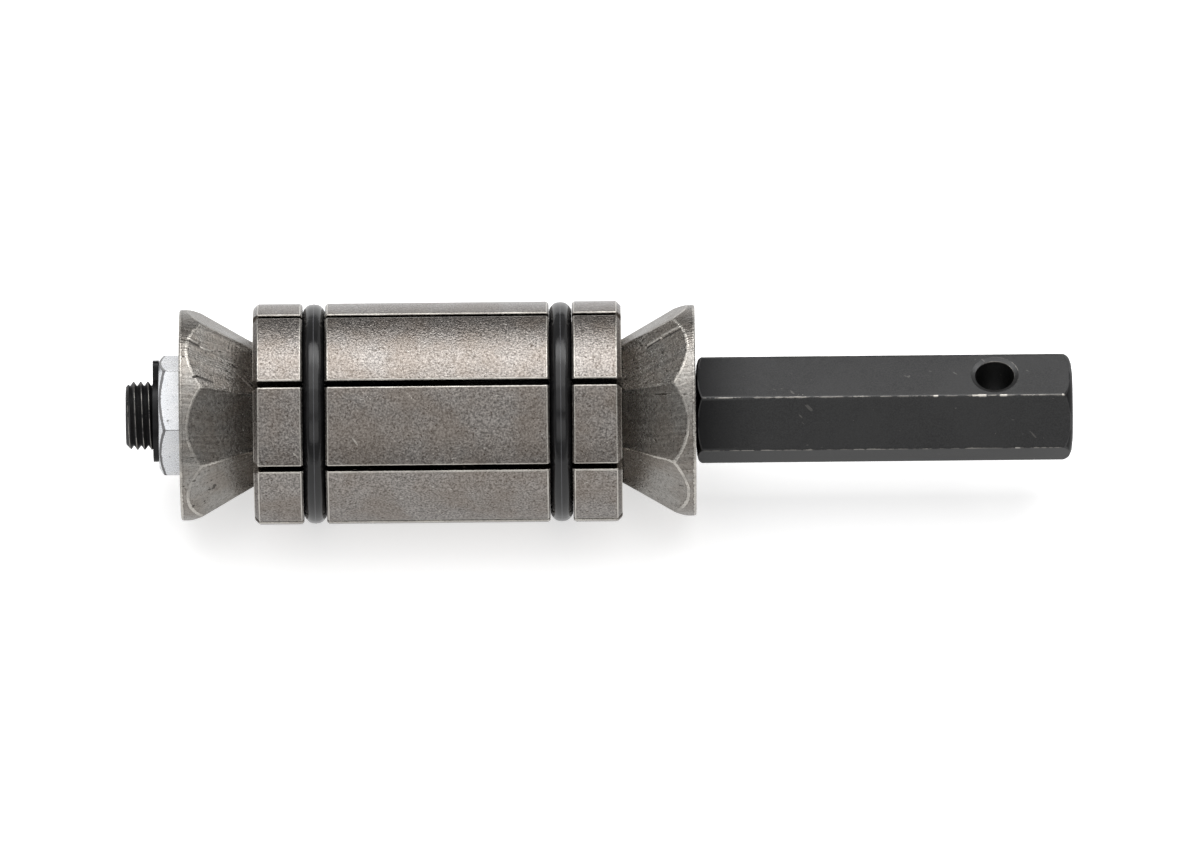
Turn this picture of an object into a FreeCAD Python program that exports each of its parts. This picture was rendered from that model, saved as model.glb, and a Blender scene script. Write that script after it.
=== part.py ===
import FreeCAD, Part
import math
import os
import Sketcher

# Exhaust pipe expander: eight jaws on two eight-sided cones, which a screw draws together.
# The screw's axis is X, its drive end points to +X, and Z is up. X = 0 is the middle of the jaws.
# One jaw lies at the very bottom, so the tool stands on it.

# Every driving dimension, in millimetres, degrees or a plain count.
SIZES = [
    ("jaw_count", 8, "jaws round the screw, and facets on each cone"),
    ("closed_diameter", 38.6, "across the crowns of two opposite jaws, closed"),
    ("jaw_length", 64.5, "length of a jaw along the screw"),
    ("crown_arc_radius", 28, "a jaw's outer face is flatter than its circle"),
    ("slit_width", 0.6, "gap between the flanks of two closed jaws"),
    ("jaw_flank_bevel", 0.4, "width of the bevel along a jaw's outer edges"),
    ("jaw_end_bevel", 0.6, "length of the bevel round a jaw's crown at both its ends"),
    ("ramp_angle", 29, "slope of the jaws' ramps and the cones' facets"),
    ("ramp_clearance", 0.03, "between a ramp and its facet, square to both"),
    ("jaw_bore_clearance", 0.3, "between the closed jaws and the screw"),
    ("groove_from_end", 10.65, "from a jaw's end to the middle of its ring groove"),
    ("groove_width", 4, "width of a ring groove"),
    ("ring_section", 3.5, "thickness of a retaining ring"),
    ("ring_sides", 12, "flats that stand for the roundness of a ring's section"),
    ("ring_sink", 0.05, "how far a ring lies below the jaws' crowns"),
    ("ring_seat_clearance", 0.05, "between a ring and the bottom of its groove"),
    ("cone_reach", 12.95, "how far a cone stands out of the closed jaws"),
    ("cone_length", 20.7, "length of a cone along the screw"),
    ("rim_diameter", 37, "turned rim at the back of a cone"),
    ("rim_land", 1.36, "width of the rim at the middle of a facet"),
    ("cone_bore_clearance", 0.25, "between a cone and the screw"),
    ("cone_edge_break", 0.4, "chamfer at both mouths of a cone's bore"),
    ("nut_across_flats", 19, "width of the draw nut across its flats"),
    ("nut_thickness", 10, "thickness of the draw nut"),
    ("nut_pocket_depth", 6.3, "depth of the nut's pocket in the nut-end cone"),
    ("nut_clearance", 0.05, "between the nut's flats and the pocket"),
    ("nut_chamfer_angle", 30, "slope of the chamfer round the nut's faces"),
    ("nut_bore_chamfer", 0.5, "chamfer at both mouths of the nut's bore"),
    ("nut_angle", 22.2, "turn of the nut about the screw's axis"),
    ("thread_diameter", 12, "outside of the screw's thread"),
    ("nut_thread_clearance", 0.05, "between the screw and the nut's bore"),
    ("tip_reach", 5.85, "how far the screw's tip stands out of the nut"),
    ("tip_chamfer", 0.95, "chamfer at the screw's tip"),
    ("clip_thickness", 1, "thickness of the circlip"),
    ("clip_gap", 0.05, "between the circlip and the nut"),
    ("clip_groove_depth", 0.3, "depth of the circlip's groove in the thread"),
    ("clip_groove_play", 0.02, "play of the circlip at each side of its groove"),
    ("clip_bore_clearance", 0.03, "between the circlip and the bottom of its groove"),
    ("clip_width", 2.4, "width of the circlip's band opposite its lugs"),
    ("clip_band_shift", 0.45, "how far the band's outside is off centre"),
    ("clip_lug_reach", 9.6, "from the screw's axis to the end of a lug"),
    ("clip_lug_width", 2.9, "width of one lug"),
    ("clip_lug_corner", 1.15, "rounding of a lug's outer corner"),
    ("clip_mouth", 1.6, "gap between the two lugs"),
    ("clip_eye_diameter", 1.4, "plier hole in a lug"),
    ("clip_angle", 40, "turn of the lugs about the screw's axis"),
    ("shoulder_gap", 0.05, "between the shank's shoulder and the drive-end cone"),
    ("shank_across_flats", 16.9, "width of the hex shank across its flats"),
    ("shank_length", 66.1, "length of the hex shank"),
    ("shank_angle", -4.5, "turn of the hex shank about the screw's axis"),
    ("shoulder_chamfer", 1.05, "length of the chamfer at the shank's shoulder"),
    ("head_chamfer", 1.75, "length of the chamfer at the shank's free end"),
    ("bar_hole_diameter", 6.8, "cross hole for the turning bar"),
    ("bar_hole_from_end", 13.7, "from the shank's free end to the cross hole"),
    ("bar_hole_mouth", 8.4, "width of the countersink on each flat"),
    ("overrun", 1, "how far a cut runs on past the surface that it opens"),
]

# Sizes that follow from the driving ones, and that more than one piece shares.
SHARED_SIZES = [
    ("sector", "360 / Sizes.jaw_count"),
    ("slope", "tan(Sizes.ramp_angle)"),
    ("crown_radius", "Sizes.closed_diameter / 2"),
    ("half_length", "Sizes.jaw_length / 2"),
    ("groove_offset", "half_length - Sizes.groove_from_end"),
    ("screw_radius", "Sizes.thread_diameter / 2"),
    ("jaw_bore", "Sizes.thread_diameter / 2 + Sizes.jaw_bore_clearance"),
    ("rim_radius", "Sizes.rim_diameter / 2"),
    ("facet_back", "Sizes.rim_diameter / 2 + Sizes.rim_land * tan(Sizes.ramp_angle)"),
    ("facet_front", "facet_back - Sizes.cone_length * slope"),
    ("ramp_mouth", "facet_back - Sizes.cone_reach * slope + Sizes.ramp_clearance / cos(Sizes.ramp_angle)"),
    ("ramp_depth", "(ramp_mouth - jaw_bore) / slope"),
    ("cone_back", "half_length + Sizes.cone_reach"),
    ("cone_bore", "screw_radius + Sizes.cone_bore_clearance"),
    ("ring_radius", "crown_radius - Sizes.ring_sink - Sizes.ring_section / 2"),
    ("groove_floor", "ring_radius - Sizes.ring_section / 2 - Sizes.ring_seat_clearance"),
    ("nut_face", "cone_back + Sizes.nut_thickness - Sizes.nut_pocket_depth"),
    ("nut_bore", "screw_radius + Sizes.nut_thread_clearance"),
    ("tip_end", "nut_face + Sizes.tip_reach"),
    ("clip_near", "nut_face + Sizes.clip_gap"),
    ("clip_far", "clip_near + Sizes.clip_thickness"),
    ("clip_groove_radius", "screw_radius - Sizes.clip_groove_depth"),
    ("clip_bore", "clip_groove_radius + Sizes.clip_bore_clearance"),
    ("shoulder", "cone_back + Sizes.shoulder_gap"),
    ("head_end", "shoulder + Sizes.shank_length"),
    ("flat_radius", "Sizes.shank_across_flats / 2"),
    ("corner_radius", "flat_radius / cos(30)"),
]

# The height of the centre of a jaw's crown arc, above the screw's axis.
CROWN_CENTRE = "(Fits.crown_radius - Sizes.crown_arc_radius)"

doc = FreeCAD.newDocument("pipe_expander")


def write_sheet(name, rows):
    """A sheet with one size in each row: its value, with its name as the cell's alias, and a note."""
    sheet = doc.addObject("Spreadsheet::Sheet", name)
    for number, (alias, content, note) in enumerate(rows, start=1):
        cell = "A%d" % number
        sheet.set(cell, content)
        sheet.setAlias(cell, alias)
        sheet.set("B%d" % number, note)
    doc.recompute()
    return sheet


sizes = write_sheet("Sizes", [(alias, str(value), note) for alias, value, note in SIZES])
fits = write_sheet("Fits", [(alias, "=" + formula, alias) for alias, formula in SHARED_SIZES])


def measure(expression):
    """The number that an expression on the sheets comes to."""
    result = fits.evalExpression(expression)
    return float(getattr(result, "Value", result))


def new_body(label):
    body = doc.addObject("PartDesign::Body", label)
    body.Label = label
    return body


def origin_part(body, role):
    """One of the body's own origin planes or axes, such as XY_Plane or X_Axis."""
    return next(part for part in body.Origin.OriginFeatures if part.Role == role)


def new_sketch(body, name, plane, lift=None):
    """A sketch on one of the body's origin planes, lifted off it by an expression."""
    sketch = body.newObject("Sketcher::SketchObject", name)
    sketch.AttachmentSupport = [(origin_part(body, plane), "")]
    sketch.MapMode = "FlatFace"
    if lift:
        sketch.setExpression("AttachmentOffset.Base.z", lift)
    return sketch


def bind(sketch, kind, where, expression):
    """A sketch dimension that follows an expression."""
    number = sketch.addConstraint(Sketcher.Constraint(kind, *where, measure(expression)))
    sketch.setExpression("Constraints[%d]" % number, expression)


def pin(sketch, line, end, across, up):
    """Hold one end of a line at the place that two expressions give; None lays it on that axis."""
    if across is None:
        sketch.addConstraint(Sketcher.Constraint("PointOnObject", line, end, -2))
    else:
        bind(sketch, "DistanceX", (-1, 1, line, end), across)
    if up is None:
        sketch.addConstraint(Sketcher.Constraint("PointOnObject", line, end, -1))
    else:
        bind(sketch, "DistanceY", (-1, 1, line, end), up)


def flat_point(corner):
    """A corner, given as two expressions, as a point of the sketch's plane."""
    across, up = corner
    return FreeCAD.Vector(
        measure(across) if across else 0,
        measure(up) if up else 0,
        0,
    )


def add_outline(sketch, corners):
    """A closed outline of straight lines through corners, each held by its own two expressions."""
    places = [flat_point(corner) for corner in corners]
    first = sketch.GeometryCount
    count = len(corners)
    for number in range(count):
        sketch.addGeometry(Part.LineSegment(places[number], places[(number + 1) % count]), False)
    for number in range(count):
        following = first + (number + 1) % count
        sketch.addConstraint(Sketcher.Constraint("Coincident", first + number, 2, following, 1))
    for number, (across, up) in enumerate(corners):
        pin(sketch, first + number, 1, across, up)
    return first


def add_circle(sketch, radius, across=None, up=None):
    """A circle whose radius and centre follow expressions."""
    circle = sketch.addGeometry(
        Part.Circle(flat_point((across, up)), FreeCAD.Vector(0, 0, 1), measure(radius)), False
    )
    bind(sketch, "Radius", (circle,), radius)
    pin(sketch, circle, 3, across, up)
    return circle


def add_polygon(sketch, sides, corner_radius, up=None):
    """A regular polygon with a corner straight to the right of its centre, which lies on the up axis."""
    centre = flat_point((None, up))
    radius = measure(corner_radius)
    places = []
    for step in range(sides):
        angle = 2 * math.pi * step / sides
        places.append(centre + FreeCAD.Vector(radius * math.cos(angle), radius * math.sin(angle), 0))
    lines = [
        sketch.addGeometry(Part.LineSegment(places[step], places[(step + 1) % sides]), False)
        for step in range(sides)
    ]
    circle = sketch.addGeometry(Part.Circle(centre, FreeCAD.Vector(0, 0, 1), radius), True)
    middle = sketch.addGeometry(Part.LineSegment(centre, places[0]), True)
    pin(sketch, circle, 3, None, up)
    bind(sketch, "Radius", (circle,), corner_radius)
    for step, line in enumerate(lines):
        sketch.addConstraint(Sketcher.Constraint("Coincident", line, 2, lines[(step + 1) % sides], 1))
        sketch.addConstraint(Sketcher.Constraint("PointOnObject", line, 1, circle))
        if step:
            sketch.addConstraint(Sketcher.Constraint("Equal", lines[0], line))
    sketch.addConstraint(Sketcher.Constraint("Coincident", middle, 1, circle, 3))
    sketch.addConstraint(Sketcher.Constraint("Coincident", middle, 2, lines[0], 1))
    sketch.addConstraint(Sketcher.Constraint("Horizontal", middle))


def add_feature(body, kind, name, sketch, **settings):
    """A feature made from a sketch; the volume has to change, or it points the wrong way."""
    doc.recompute()
    before = body.Shape.Volume if body.Tip else 0
    feature = body.newObject("PartDesign::" + kind, name)
    if sketch:
        feature.Profile = sketch
    for key, value in settings.items():
        if key in ("Length", "Radius", "Size") and isinstance(value, str):
            feature.setExpression(key, value)
        else:
            setattr(feature, key, value)
    doc.recompute()
    if abs(body.Shape.Volume - before) < 1e-6:
        raise RuntimeError("%s of %s changes nothing" % (name, body.Label))
    return feature


def repeat(body, kind, name, features, **settings):
    """A pattern or mirror of features, which becomes the body's tip."""
    doc.recompute()
    before = body.Shape.Volume
    pattern = body.newObject("PartDesign::" + kind, name)
    pattern.Originals = features
    for key, value in settings.items():
        setattr(pattern, key, value)
    body.Tip = pattern
    doc.recompute()
    if abs(body.Shape.Volume - before) < 1e-6:
        raise RuntimeError("%s of %s changes nothing" % (name, body.Label))
    return pattern


def edges_where(body, wanted):
    """The names of the body's edges that a test picks."""
    return ["Edge%d" % (n + 1) for n, edge in enumerate(body.Shape.Edges) if wanted(edge)]


def turned(x, angle):
    """A place on the screw's axis, turned about that axis."""
    return FreeCAD.Placement(
        FreeCAD.Vector(x, 0, 0), FreeCAD.Rotation(FreeCAD.Vector(1, 0, 0), angle)
    )


def draw_jaw_section(section):
    """A jaw's section across the screw: flat inside, straight flanks, bevels and a flatter crown."""
    half_sector = math.radians(measure("Fits.sector / 2"))
    foot_half = "(Fits.jaw_bore * tan(Fits.sector / 2) - Sizes.slit_width / 2 / cos(Fits.sector / 2))"
    foot = measure(foot_half)
    base = measure("Fits.jaw_bore")
    crown_radius = measure("Fits.crown_radius")
    arc_radius = measure("Sizes.crown_arc_radius")
    bevel_width = measure("Sizes.jaw_flank_bevel")
    edge = crown_radius * math.sin(half_sector)
    top = crown_radius * math.cos(half_sector)
    corners = [
        FreeCAD.Vector(bevel_width - edge, top + bevel_width, 0),
        FreeCAD.Vector(-edge, top, 0),
        FreeCAD.Vector(-foot, base, 0),
        FreeCAD.Vector(foot, base, 0),
        FreeCAD.Vector(edge, top, 0),
        FreeCAD.Vector(edge - bevel_width, top + bevel_width, 0),
    ]
    lines = [
        section.addGeometry(Part.LineSegment(corners[step], corners[step + 1]), False)
        for step in range(len(corners) - 1)
    ]
    left_bevel, left, floor, right, right_bevel = lines
    lean = math.asin((edge - bevel_width) / arc_radius)
    crown = section.addGeometry(
        Part.ArcOfCircle(
            Part.Circle(flat_point((None, CROWN_CENTRE)), FreeCAD.Vector(0, 0, 1), arc_radius),
            math.pi / 2 - lean,
            math.pi / 2 + lean,
        ),
        False,
    )
    for one, other in zip(lines, lines[1:] + [crown]):
        section.addConstraint(Sketcher.Constraint("Coincident", one, 2, other, 1))
    section.addConstraint(Sketcher.Constraint("Coincident", crown, 2, left_bevel, 1))
    pin(section, floor, 1, "-" + foot_half, "Fits.jaw_bore")
    pin(section, floor, 2, foot_half, "Fits.jaw_bore")
    pin(section, crown, 3, None, CROWN_CENTRE)
    bind(section, "Radius", (crown,), "Sizes.crown_arc_radius")
    bind(section, "Angle", (right,), "(90 - Fits.sector / 2) * 1deg")
    bind(section, "Angle", (left,), "(Fits.sector / 2 - 90) * 1deg")

    # Each bevel leans halfway between its flank and the crown.
    for bevel, sign in [(right_bevel, ""), (left_bevel, "-")]:
        bind(section, "Angle", (bevel,), sign + "(90 + Fits.sector / 2) * 1deg")
        bind(section, "Distance", (bevel,), "Sizes.jaw_flank_bevel")


def make_jaw(label, angle):
    """One jaw: a sector with a crowned outside, a ramp at each end and two grooves for the rings.

    It is drawn with its crown up, and turned about the screw's axis to its own place.
    """
    body = new_body(label)
    section = new_sketch(body, "section", "YZ_Plane")
    draw_jaw_section(section)
    add_feature(body, "Pad", "sector", section, Length="Sizes.jaw_length", SideType="Symmetric")

    # The ramp at the drive end lies on a facet of that cone.
    ramp = new_sketch(body, "ramp_side", "XZ_Plane")
    past_end = "Fits.half_length + Sizes.overrun"
    below_bore = "Fits.jaw_bore - Sizes.overrun"
    add_outline(
        ramp,
        [
            ("Fits.half_length - Fits.ramp_depth", "Fits.jaw_bore"),
            ("Fits.half_length - Fits.ramp_depth", below_bore),
            (past_end, below_bore),
            (past_end, "Fits.ramp_mouth + Sizes.overrun * Fits.slope"),
        ],
    )
    ramp_cut = add_feature(body, "Pocket", "ramp", ramp, Type="ThroughAll", SideType="Symmetric")

    # The ring groove is turned about the screw's axis.
    groove = new_sketch(body, "groove_side", "XZ_Plane")
    near = "Fits.groove_offset - Sizes.groove_width / 2"
    far = "Fits.groove_offset + Sizes.groove_width / 2"
    above_crown = "Fits.crown_radius + Sizes.overrun"
    add_outline(
        groove,
        [
            (near, "Fits.groove_floor"),
            (far, "Fits.groove_floor"),
            (far, above_crown),
            (near, above_crown),
        ],
    )
    ring_groove = add_feature(
        body, "Groove", "ring_groove", groove, ReferenceAxis=(groove, ["H_Axis"]), Angle=360
    )

    # The bevel at the end is turned about the crown's own axis, so it is as long at the flanks.
    bevel = new_sketch(body, "end_bevel_side", "XZ_Plane")
    axis_start = (None, CROWN_CENTRE)
    axis_end = ("Fits.half_length", CROWN_CENTRE)
    crown_axis = bevel.addGeometry(Part.LineSegment(flat_point(axis_start), flat_point(axis_end)), True)
    pin(bevel, crown_axis, 1, *axis_start)
    pin(bevel, crown_axis, 2, *axis_end)
    add_outline(
        bevel,
        [
            ("Fits.half_length - Sizes.jaw_end_bevel - Sizes.overrun", above_crown),
            (past_end, "Fits.crown_radius - Sizes.jaw_end_bevel - Sizes.overrun"),
            (past_end, above_crown),
        ],
    )
    end_bevel = add_feature(
        body, "Groove", "end_bevel", bevel, ReferenceAxis=(bevel, ["Axis0"]), Angle=360
    )
    repeat(
        body,
        "Mirrored",
        "both_ends",
        [ramp_cut, ring_groove, end_bevel],
        MirrorPlane=(origin_part(body, "YZ_Plane"), [""]),
    )
    body.Placement = turned(0, angle)
    return body


def make_cone(label, has_nut_pocket):
    """A cone: a turned blank with facets milled on it, its back at X = 0 and its small end at +X."""
    body = new_body(label)
    blank = new_sketch(body, "blank_side", "XZ_Plane")
    add_outline(
        blank,
        [
            (None, "Fits.cone_bore + Sizes.cone_edge_break"),
            (None, "Fits.rim_radius"),
            ("Sizes.cone_length", "Fits.rim_radius"),
            ("Sizes.cone_length", "Fits.cone_bore + Sizes.cone_edge_break"),
            ("Sizes.cone_length - Sizes.cone_edge_break", "Fits.cone_bore"),
            ("Sizes.cone_edge_break", "Fits.cone_bore"),
        ],
    )
    add_feature(body, "Revolution", "blank", blank, ReferenceAxis=(blank, ["H_Axis"]), Angle=360)

    facet_side = new_sketch(body, "facet_side", "XZ_Plane")
    past_front = "Sizes.cone_length + Sizes.overrun"
    outside = "Fits.facet_back + Sizes.overrun * Fits.slope"
    add_outline(
        facet_side,
        [
            ("-Sizes.overrun", outside),
            (past_front, "Fits.facet_front - Sizes.overrun * Fits.slope"),
            (past_front, outside),
        ],
    )
    facet = add_feature(body, "Pocket", "facet", facet_side, Type="ThroughAll", SideType="Symmetric")
    repeat(
        body,
        "PolarPattern",
        "facets",
        [facet],
        Axis=(origin_part(body, "X_Axis"), [""]),
        Angle=360,
        Occurrences=int(measure("Sizes.jaw_count")),
    )
    if has_nut_pocket:
        outline = new_sketch(body, "nut_outline", "YZ_Plane")
        add_polygon(outline, 6, "(Sizes.nut_across_flats / 2 + Sizes.nut_clearance) / cos(30)")
        outline.setExpression(
            "AttachmentOffset.Rotation.Angle", "(Sizes.nut_angle) * 1deg"
        )
        add_feature(
            body, "Pocket", "nut_pocket", outline, Length="Sizes.nut_pocket_depth", Reversed=True
        )
    return body


def make_nut(label):
    """The draw nut, its outer face at X = 0 and its inner face at +X."""
    body = new_body(label)
    outline = new_sketch(body, "outline", "YZ_Plane")
    add_polygon(outline, 6, "Sizes.nut_across_flats / 2 / cos(30)")
    outline.setExpression("AttachmentOffset.Rotation.Angle", "(Sizes.nut_angle) * 1deg")
    add_feature(body, "Pad", "hexagon", outline, Length="Sizes.nut_thickness")

    # The chamfer starts at the flats and cuts the corners, so each flat ends in an arc.
    flat = "Sizes.nut_across_flats / 2"
    corner = "(Sizes.nut_across_flats / 2 / cos(30) + Sizes.overrun)"
    drop = "(%s - %s) * tan(Sizes.nut_chamfer_angle)" % (corner, flat)
    chamfer = new_sketch(body, "chamfer_side", "XZ_Plane")
    add_outline(chamfer, [(None, flat), (drop, corner), (None, corner)])
    add_feature(
        body, "Groove", "outer_chamfer", chamfer, ReferenceAxis=(chamfer, ["H_Axis"]), Angle=360
    )
    bore = new_sketch(body, "bore_side", "XZ_Plane")
    mouth = "Fits.nut_bore + Sizes.nut_bore_chamfer"
    add_outline(
        bore,
        [
            (None, None),
            (None, mouth),
            ("Sizes.nut_bore_chamfer", "Fits.nut_bore"),
            ("Sizes.nut_thickness - Sizes.nut_bore_chamfer", "Fits.nut_bore"),
            ("Sizes.nut_thickness", mouth),
            ("Sizes.nut_thickness", None),
        ],
    )
    add_feature(body, "Groove", "bore", bore, ReferenceAxis=(bore, ["H_Axis"]), Angle=360)
    return body


def make_clip(label):
    """The circlip: an open band, thinner towards its mouth, with two lugs that point along +Y."""
    body = new_body(label)
    band = new_sketch(body, "band_outline", "YZ_Plane")
    add_circle(band, "Fits.clip_bore + Sizes.clip_width - Sizes.clip_band_shift", "-Sizes.clip_band_shift")
    add_feature(body, "Pad", "band", band, Length="Sizes.clip_thickness")

    lugs = new_sketch(body, "lug_outline", "YZ_Plane")
    half = "(Sizes.clip_mouth / 2 + Sizes.clip_lug_width)"
    add_outline(
        lugs,
        [
            ("Fits.clip_bore / 2", "-" + half),
            ("Sizes.clip_lug_reach", "-" + half),
            ("Sizes.clip_lug_reach", half),
            ("Fits.clip_bore / 2", half),
        ],
    )
    add_feature(body, "Pad", "lugs", lugs, Length="Sizes.clip_thickness")

    opening = new_sketch(body, "bore_outline", "YZ_Plane")
    add_circle(opening, "Fits.clip_bore")
    add_feature(body, "Pocket", "bore", opening, Type="ThroughAll", SideType="Symmetric")

    mouth = new_sketch(body, "mouth_outline", "YZ_Plane")
    add_outline(
        mouth,
        [
            (None, "-Sizes.clip_mouth / 2"),
            ("Sizes.clip_lug_reach + Sizes.overrun", "-Sizes.clip_mouth / 2"),
            ("Sizes.clip_lug_reach + Sizes.overrun", "Sizes.clip_mouth / 2"),
            (None, "Sizes.clip_mouth / 2"),
        ],
    )
    add_feature(body, "Pocket", "mouth", mouth, Type="ThroughAll", SideType="Symmetric")

    eyes = new_sketch(body, "eye_outline", "YZ_Plane")
    eye_out = "Sizes.clip_lug_reach - Sizes.clip_lug_width / 2"
    eye_up = "(Sizes.clip_mouth + Sizes.clip_lug_width) / 2"
    add_circle(eyes, "Sizes.clip_eye_diameter / 2", eye_out, eye_up)
    add_circle(eyes, "Sizes.clip_eye_diameter / 2", eye_out, "-" + eye_up)
    add_feature(body, "Pocket", "plier_eyes", eyes, Type="ThroughAll", SideType="Symmetric")

    half_now = measure(half)
    reach_now = measure("Sizes.clip_lug_reach")

    def is_lug_corner(edge):
        middle = edge.valueAt((edge.FirstParameter + edge.LastParameter) / 2)
        across = abs(abs(middle.z) - half_now) < 0.01
        return across and abs(middle.y - reach_now) < 0.01

    add_feature(
        body,
        "Fillet",
        "lug_corners",
        None,
        Base=(body.Tip, edges_where(body, is_lug_corner)),
        Radius="Sizes.clip_lug_corner",
    )
    return body


def make_screw(label):
    """The screw, one piece: a round rod with its thread at the tip, and a hex shank with a cross hole.

    It is drawn with a flat of the shank up, and turned about its own axis afterwards.
    """
    body = new_body(label)
    rod = new_sketch(body, "rod_side", "XZ_Plane")
    groove_near = "-(Fits.clip_near - Sizes.clip_groove_play)"
    groove_far = "-(Fits.clip_far + Sizes.clip_groove_play)"
    add_outline(
        rod,
        [
            ("-Fits.tip_end", None),
            ("-Fits.tip_end", "Fits.screw_radius - Sizes.tip_chamfer"),
            ("-Fits.tip_end + Sizes.tip_chamfer", "Fits.screw_radius"),
            (groove_far, "Fits.screw_radius"),
            (groove_far, "Fits.clip_groove_radius"),
            (groove_near, "Fits.clip_groove_radius"),
            (groove_near, "Fits.screw_radius"),
            ("Fits.shoulder", "Fits.screw_radius"),
            ("Fits.shoulder", None),
        ],
    )
    add_feature(body, "Revolution", "rod", rod, ReferenceAxis=(rod, ["H_Axis"]), Angle=360)

    outline = new_sketch(body, "shank_outline", "YZ_Plane", "Fits.shoulder")
    add_polygon(outline, 6, "Fits.corner_radius")
    add_feature(body, "Pad", "shank", outline, Length="Sizes.shank_length")

    # Both ends of the shank are turned off at 45 degrees, more at the free end.
    past_corner = "Fits.corner_radius + Sizes.overrun"
    for name, end, inward, size in [
        ("shoulder_chamfer", "Fits.shoulder", "+", "Sizes.shoulder_chamfer"),
        ("head_chamfer", "Fits.head_end", "-", "Sizes.head_chamfer"),
    ]:
        side = new_sketch(body, name + "_side", "XZ_Plane")
        add_outline(
            side,
            [
                (end, "Fits.corner_radius - %s" % size),
                ("%s %s (%s + Sizes.overrun)" % (end, inward, size), past_corner),
                (end, past_corner),
            ],
        )
        add_feature(body, "Groove", name, side, ReferenceAxis=(side, ["H_Axis"]), Angle=360)

    # The cross hole is drilled through two flats, with a countersink on each.
    hole = new_sketch(body, "bar_hole_side", "XZ_Plane")
    centre = "Fits.head_end - Sizes.bar_hole_from_end"
    wall = "%s + Sizes.bar_hole_diameter / 2" % centre
    mouth = "%s + Sizes.bar_hole_mouth / 2 + Sizes.overrun" % centre
    sink = "(Fits.flat_radius - (Sizes.bar_hole_mouth - Sizes.bar_hole_diameter) / 2)"
    outside = "(Fits.flat_radius + Sizes.overrun)"
    first = add_outline(
        hole,
        [
            (centre, "-" + outside),
            (mouth, "-" + outside),
            (wall, "-" + sink),
            (wall, sink),
            (mouth, outside),
            (centre, outside),
        ],
    )
    axis_line = "Edge%d" % (first + 6)
    add_feature(body, "Groove", "bar_hole", hole, ReferenceAxis=(hole, [axis_line]), Angle=360)
    return body


def make_ring(label, place):
    """A rubber ring that lies in one groove of all the closed jaws, centred where an expression says."""
    body = new_body(label)
    section = new_sketch(body, "section", "XZ_Plane")
    add_polygon(section, int(measure("Sizes.ring_sides")), "Sizes.ring_section / 2", "Fits.ring_radius")
    add_feature(body, "Revolution", "ring", section, ReferenceAxis=(section, ["H_Axis"]), Angle=360)
    body.setExpression("Placement.Base.x", place)
    return body


def build():
    """Every piece of the tool, in its place with the jaws closed."""
    pieces = []
    jaw_count = int(measure("Sizes.jaw_count"))
    for number in range(jaw_count):
        # The first jaw stands straight up, and one opposite to it carries the tool.
        pieces.append(make_jaw("jaw_%d" % (number + 1), number * 360 / jaw_count))

    nut_cone = make_cone("nut_end_cone", True)
    nut_cone.setExpression("Placement.Base.x", "-Fits.cone_back")
    drive_cone = make_cone("drive_end_cone", False)
    drive_cone.Placement = FreeCAD.Placement(
        FreeCAD.Vector(0, 0, 0), FreeCAD.Rotation(FreeCAD.Vector(0, 0, 1), 180)
    )
    drive_cone.setExpression("Placement.Base.x", "Fits.cone_back")

    nut = make_nut("draw_nut")
    nut.setExpression("Placement.Base.x", "-Fits.nut_face")

    screw = make_screw("drive_screw")
    screw.Placement = turned(0, measure("Sizes.shank_angle"))
    clip = make_clip("retaining_circlip")
    clip.Placement = turned(0, measure("Sizes.clip_angle"))
    clip.setExpression("Placement.Base.x", "-Fits.clip_far")

    rings = [
        make_ring("nut_end_ring", "-Fits.groove_offset"),
        make_ring("drive_end_ring", "Fits.groove_offset"),
    ]
    return pieces + [nut_cone, drive_cone, nut, screw, clip] + rings


def check(pieces):
    """Every object is computed, and every piece is one valid solid."""
    doc.recompute()
    for thing in doc.Objects:
        if "Invalid" in thing.State or "Error" in thing.State:
            raise RuntimeError("%s is %s" % (thing.Label, thing.State))
    for piece in pieces:
        shape = piece.Shape
        if shape.isNull() or not shape.isValid() or len(shape.Solids) != 1:
            raise RuntimeError("%s is not one valid solid" % piece.Label)


def write_files(pieces):
    os.makedirs("parts", exist_ok=True)
    for piece in pieces:
        piece.Shape.exportStep("parts/%s.step" % piece.Label)


all_pieces = build()
check(all_pieces)
write_files(all_pieces)
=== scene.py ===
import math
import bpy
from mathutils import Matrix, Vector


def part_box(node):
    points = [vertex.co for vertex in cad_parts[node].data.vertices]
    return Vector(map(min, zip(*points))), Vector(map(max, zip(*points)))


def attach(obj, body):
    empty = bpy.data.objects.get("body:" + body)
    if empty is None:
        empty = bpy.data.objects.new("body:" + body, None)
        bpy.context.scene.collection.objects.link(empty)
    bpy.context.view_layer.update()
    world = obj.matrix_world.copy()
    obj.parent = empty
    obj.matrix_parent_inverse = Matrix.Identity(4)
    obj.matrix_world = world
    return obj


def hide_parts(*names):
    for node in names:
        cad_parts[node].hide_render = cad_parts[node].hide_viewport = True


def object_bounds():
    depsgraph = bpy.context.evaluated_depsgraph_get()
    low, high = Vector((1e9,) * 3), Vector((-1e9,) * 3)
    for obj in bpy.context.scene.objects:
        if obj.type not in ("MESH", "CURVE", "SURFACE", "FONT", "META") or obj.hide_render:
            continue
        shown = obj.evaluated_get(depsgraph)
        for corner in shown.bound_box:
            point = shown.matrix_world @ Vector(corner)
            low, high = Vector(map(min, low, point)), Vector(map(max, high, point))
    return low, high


bl_info = {
    "name": "Exhaust pipe expander",
    "version": (1, 0, 0),
    "blender": (4, 5, 0),
    "location": "3D View > Sidebar > Expander",
    "description": "Dresses the jaws, cones, nut, screw and rings of an exhaust pipe expander",
    "category": "Object",
}

import bmesh
import bpy
import numpy as np
from bpy.props import FloatProperty, FloatVectorProperty, PointerProperty
from mathutils import Matrix, Vector

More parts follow.
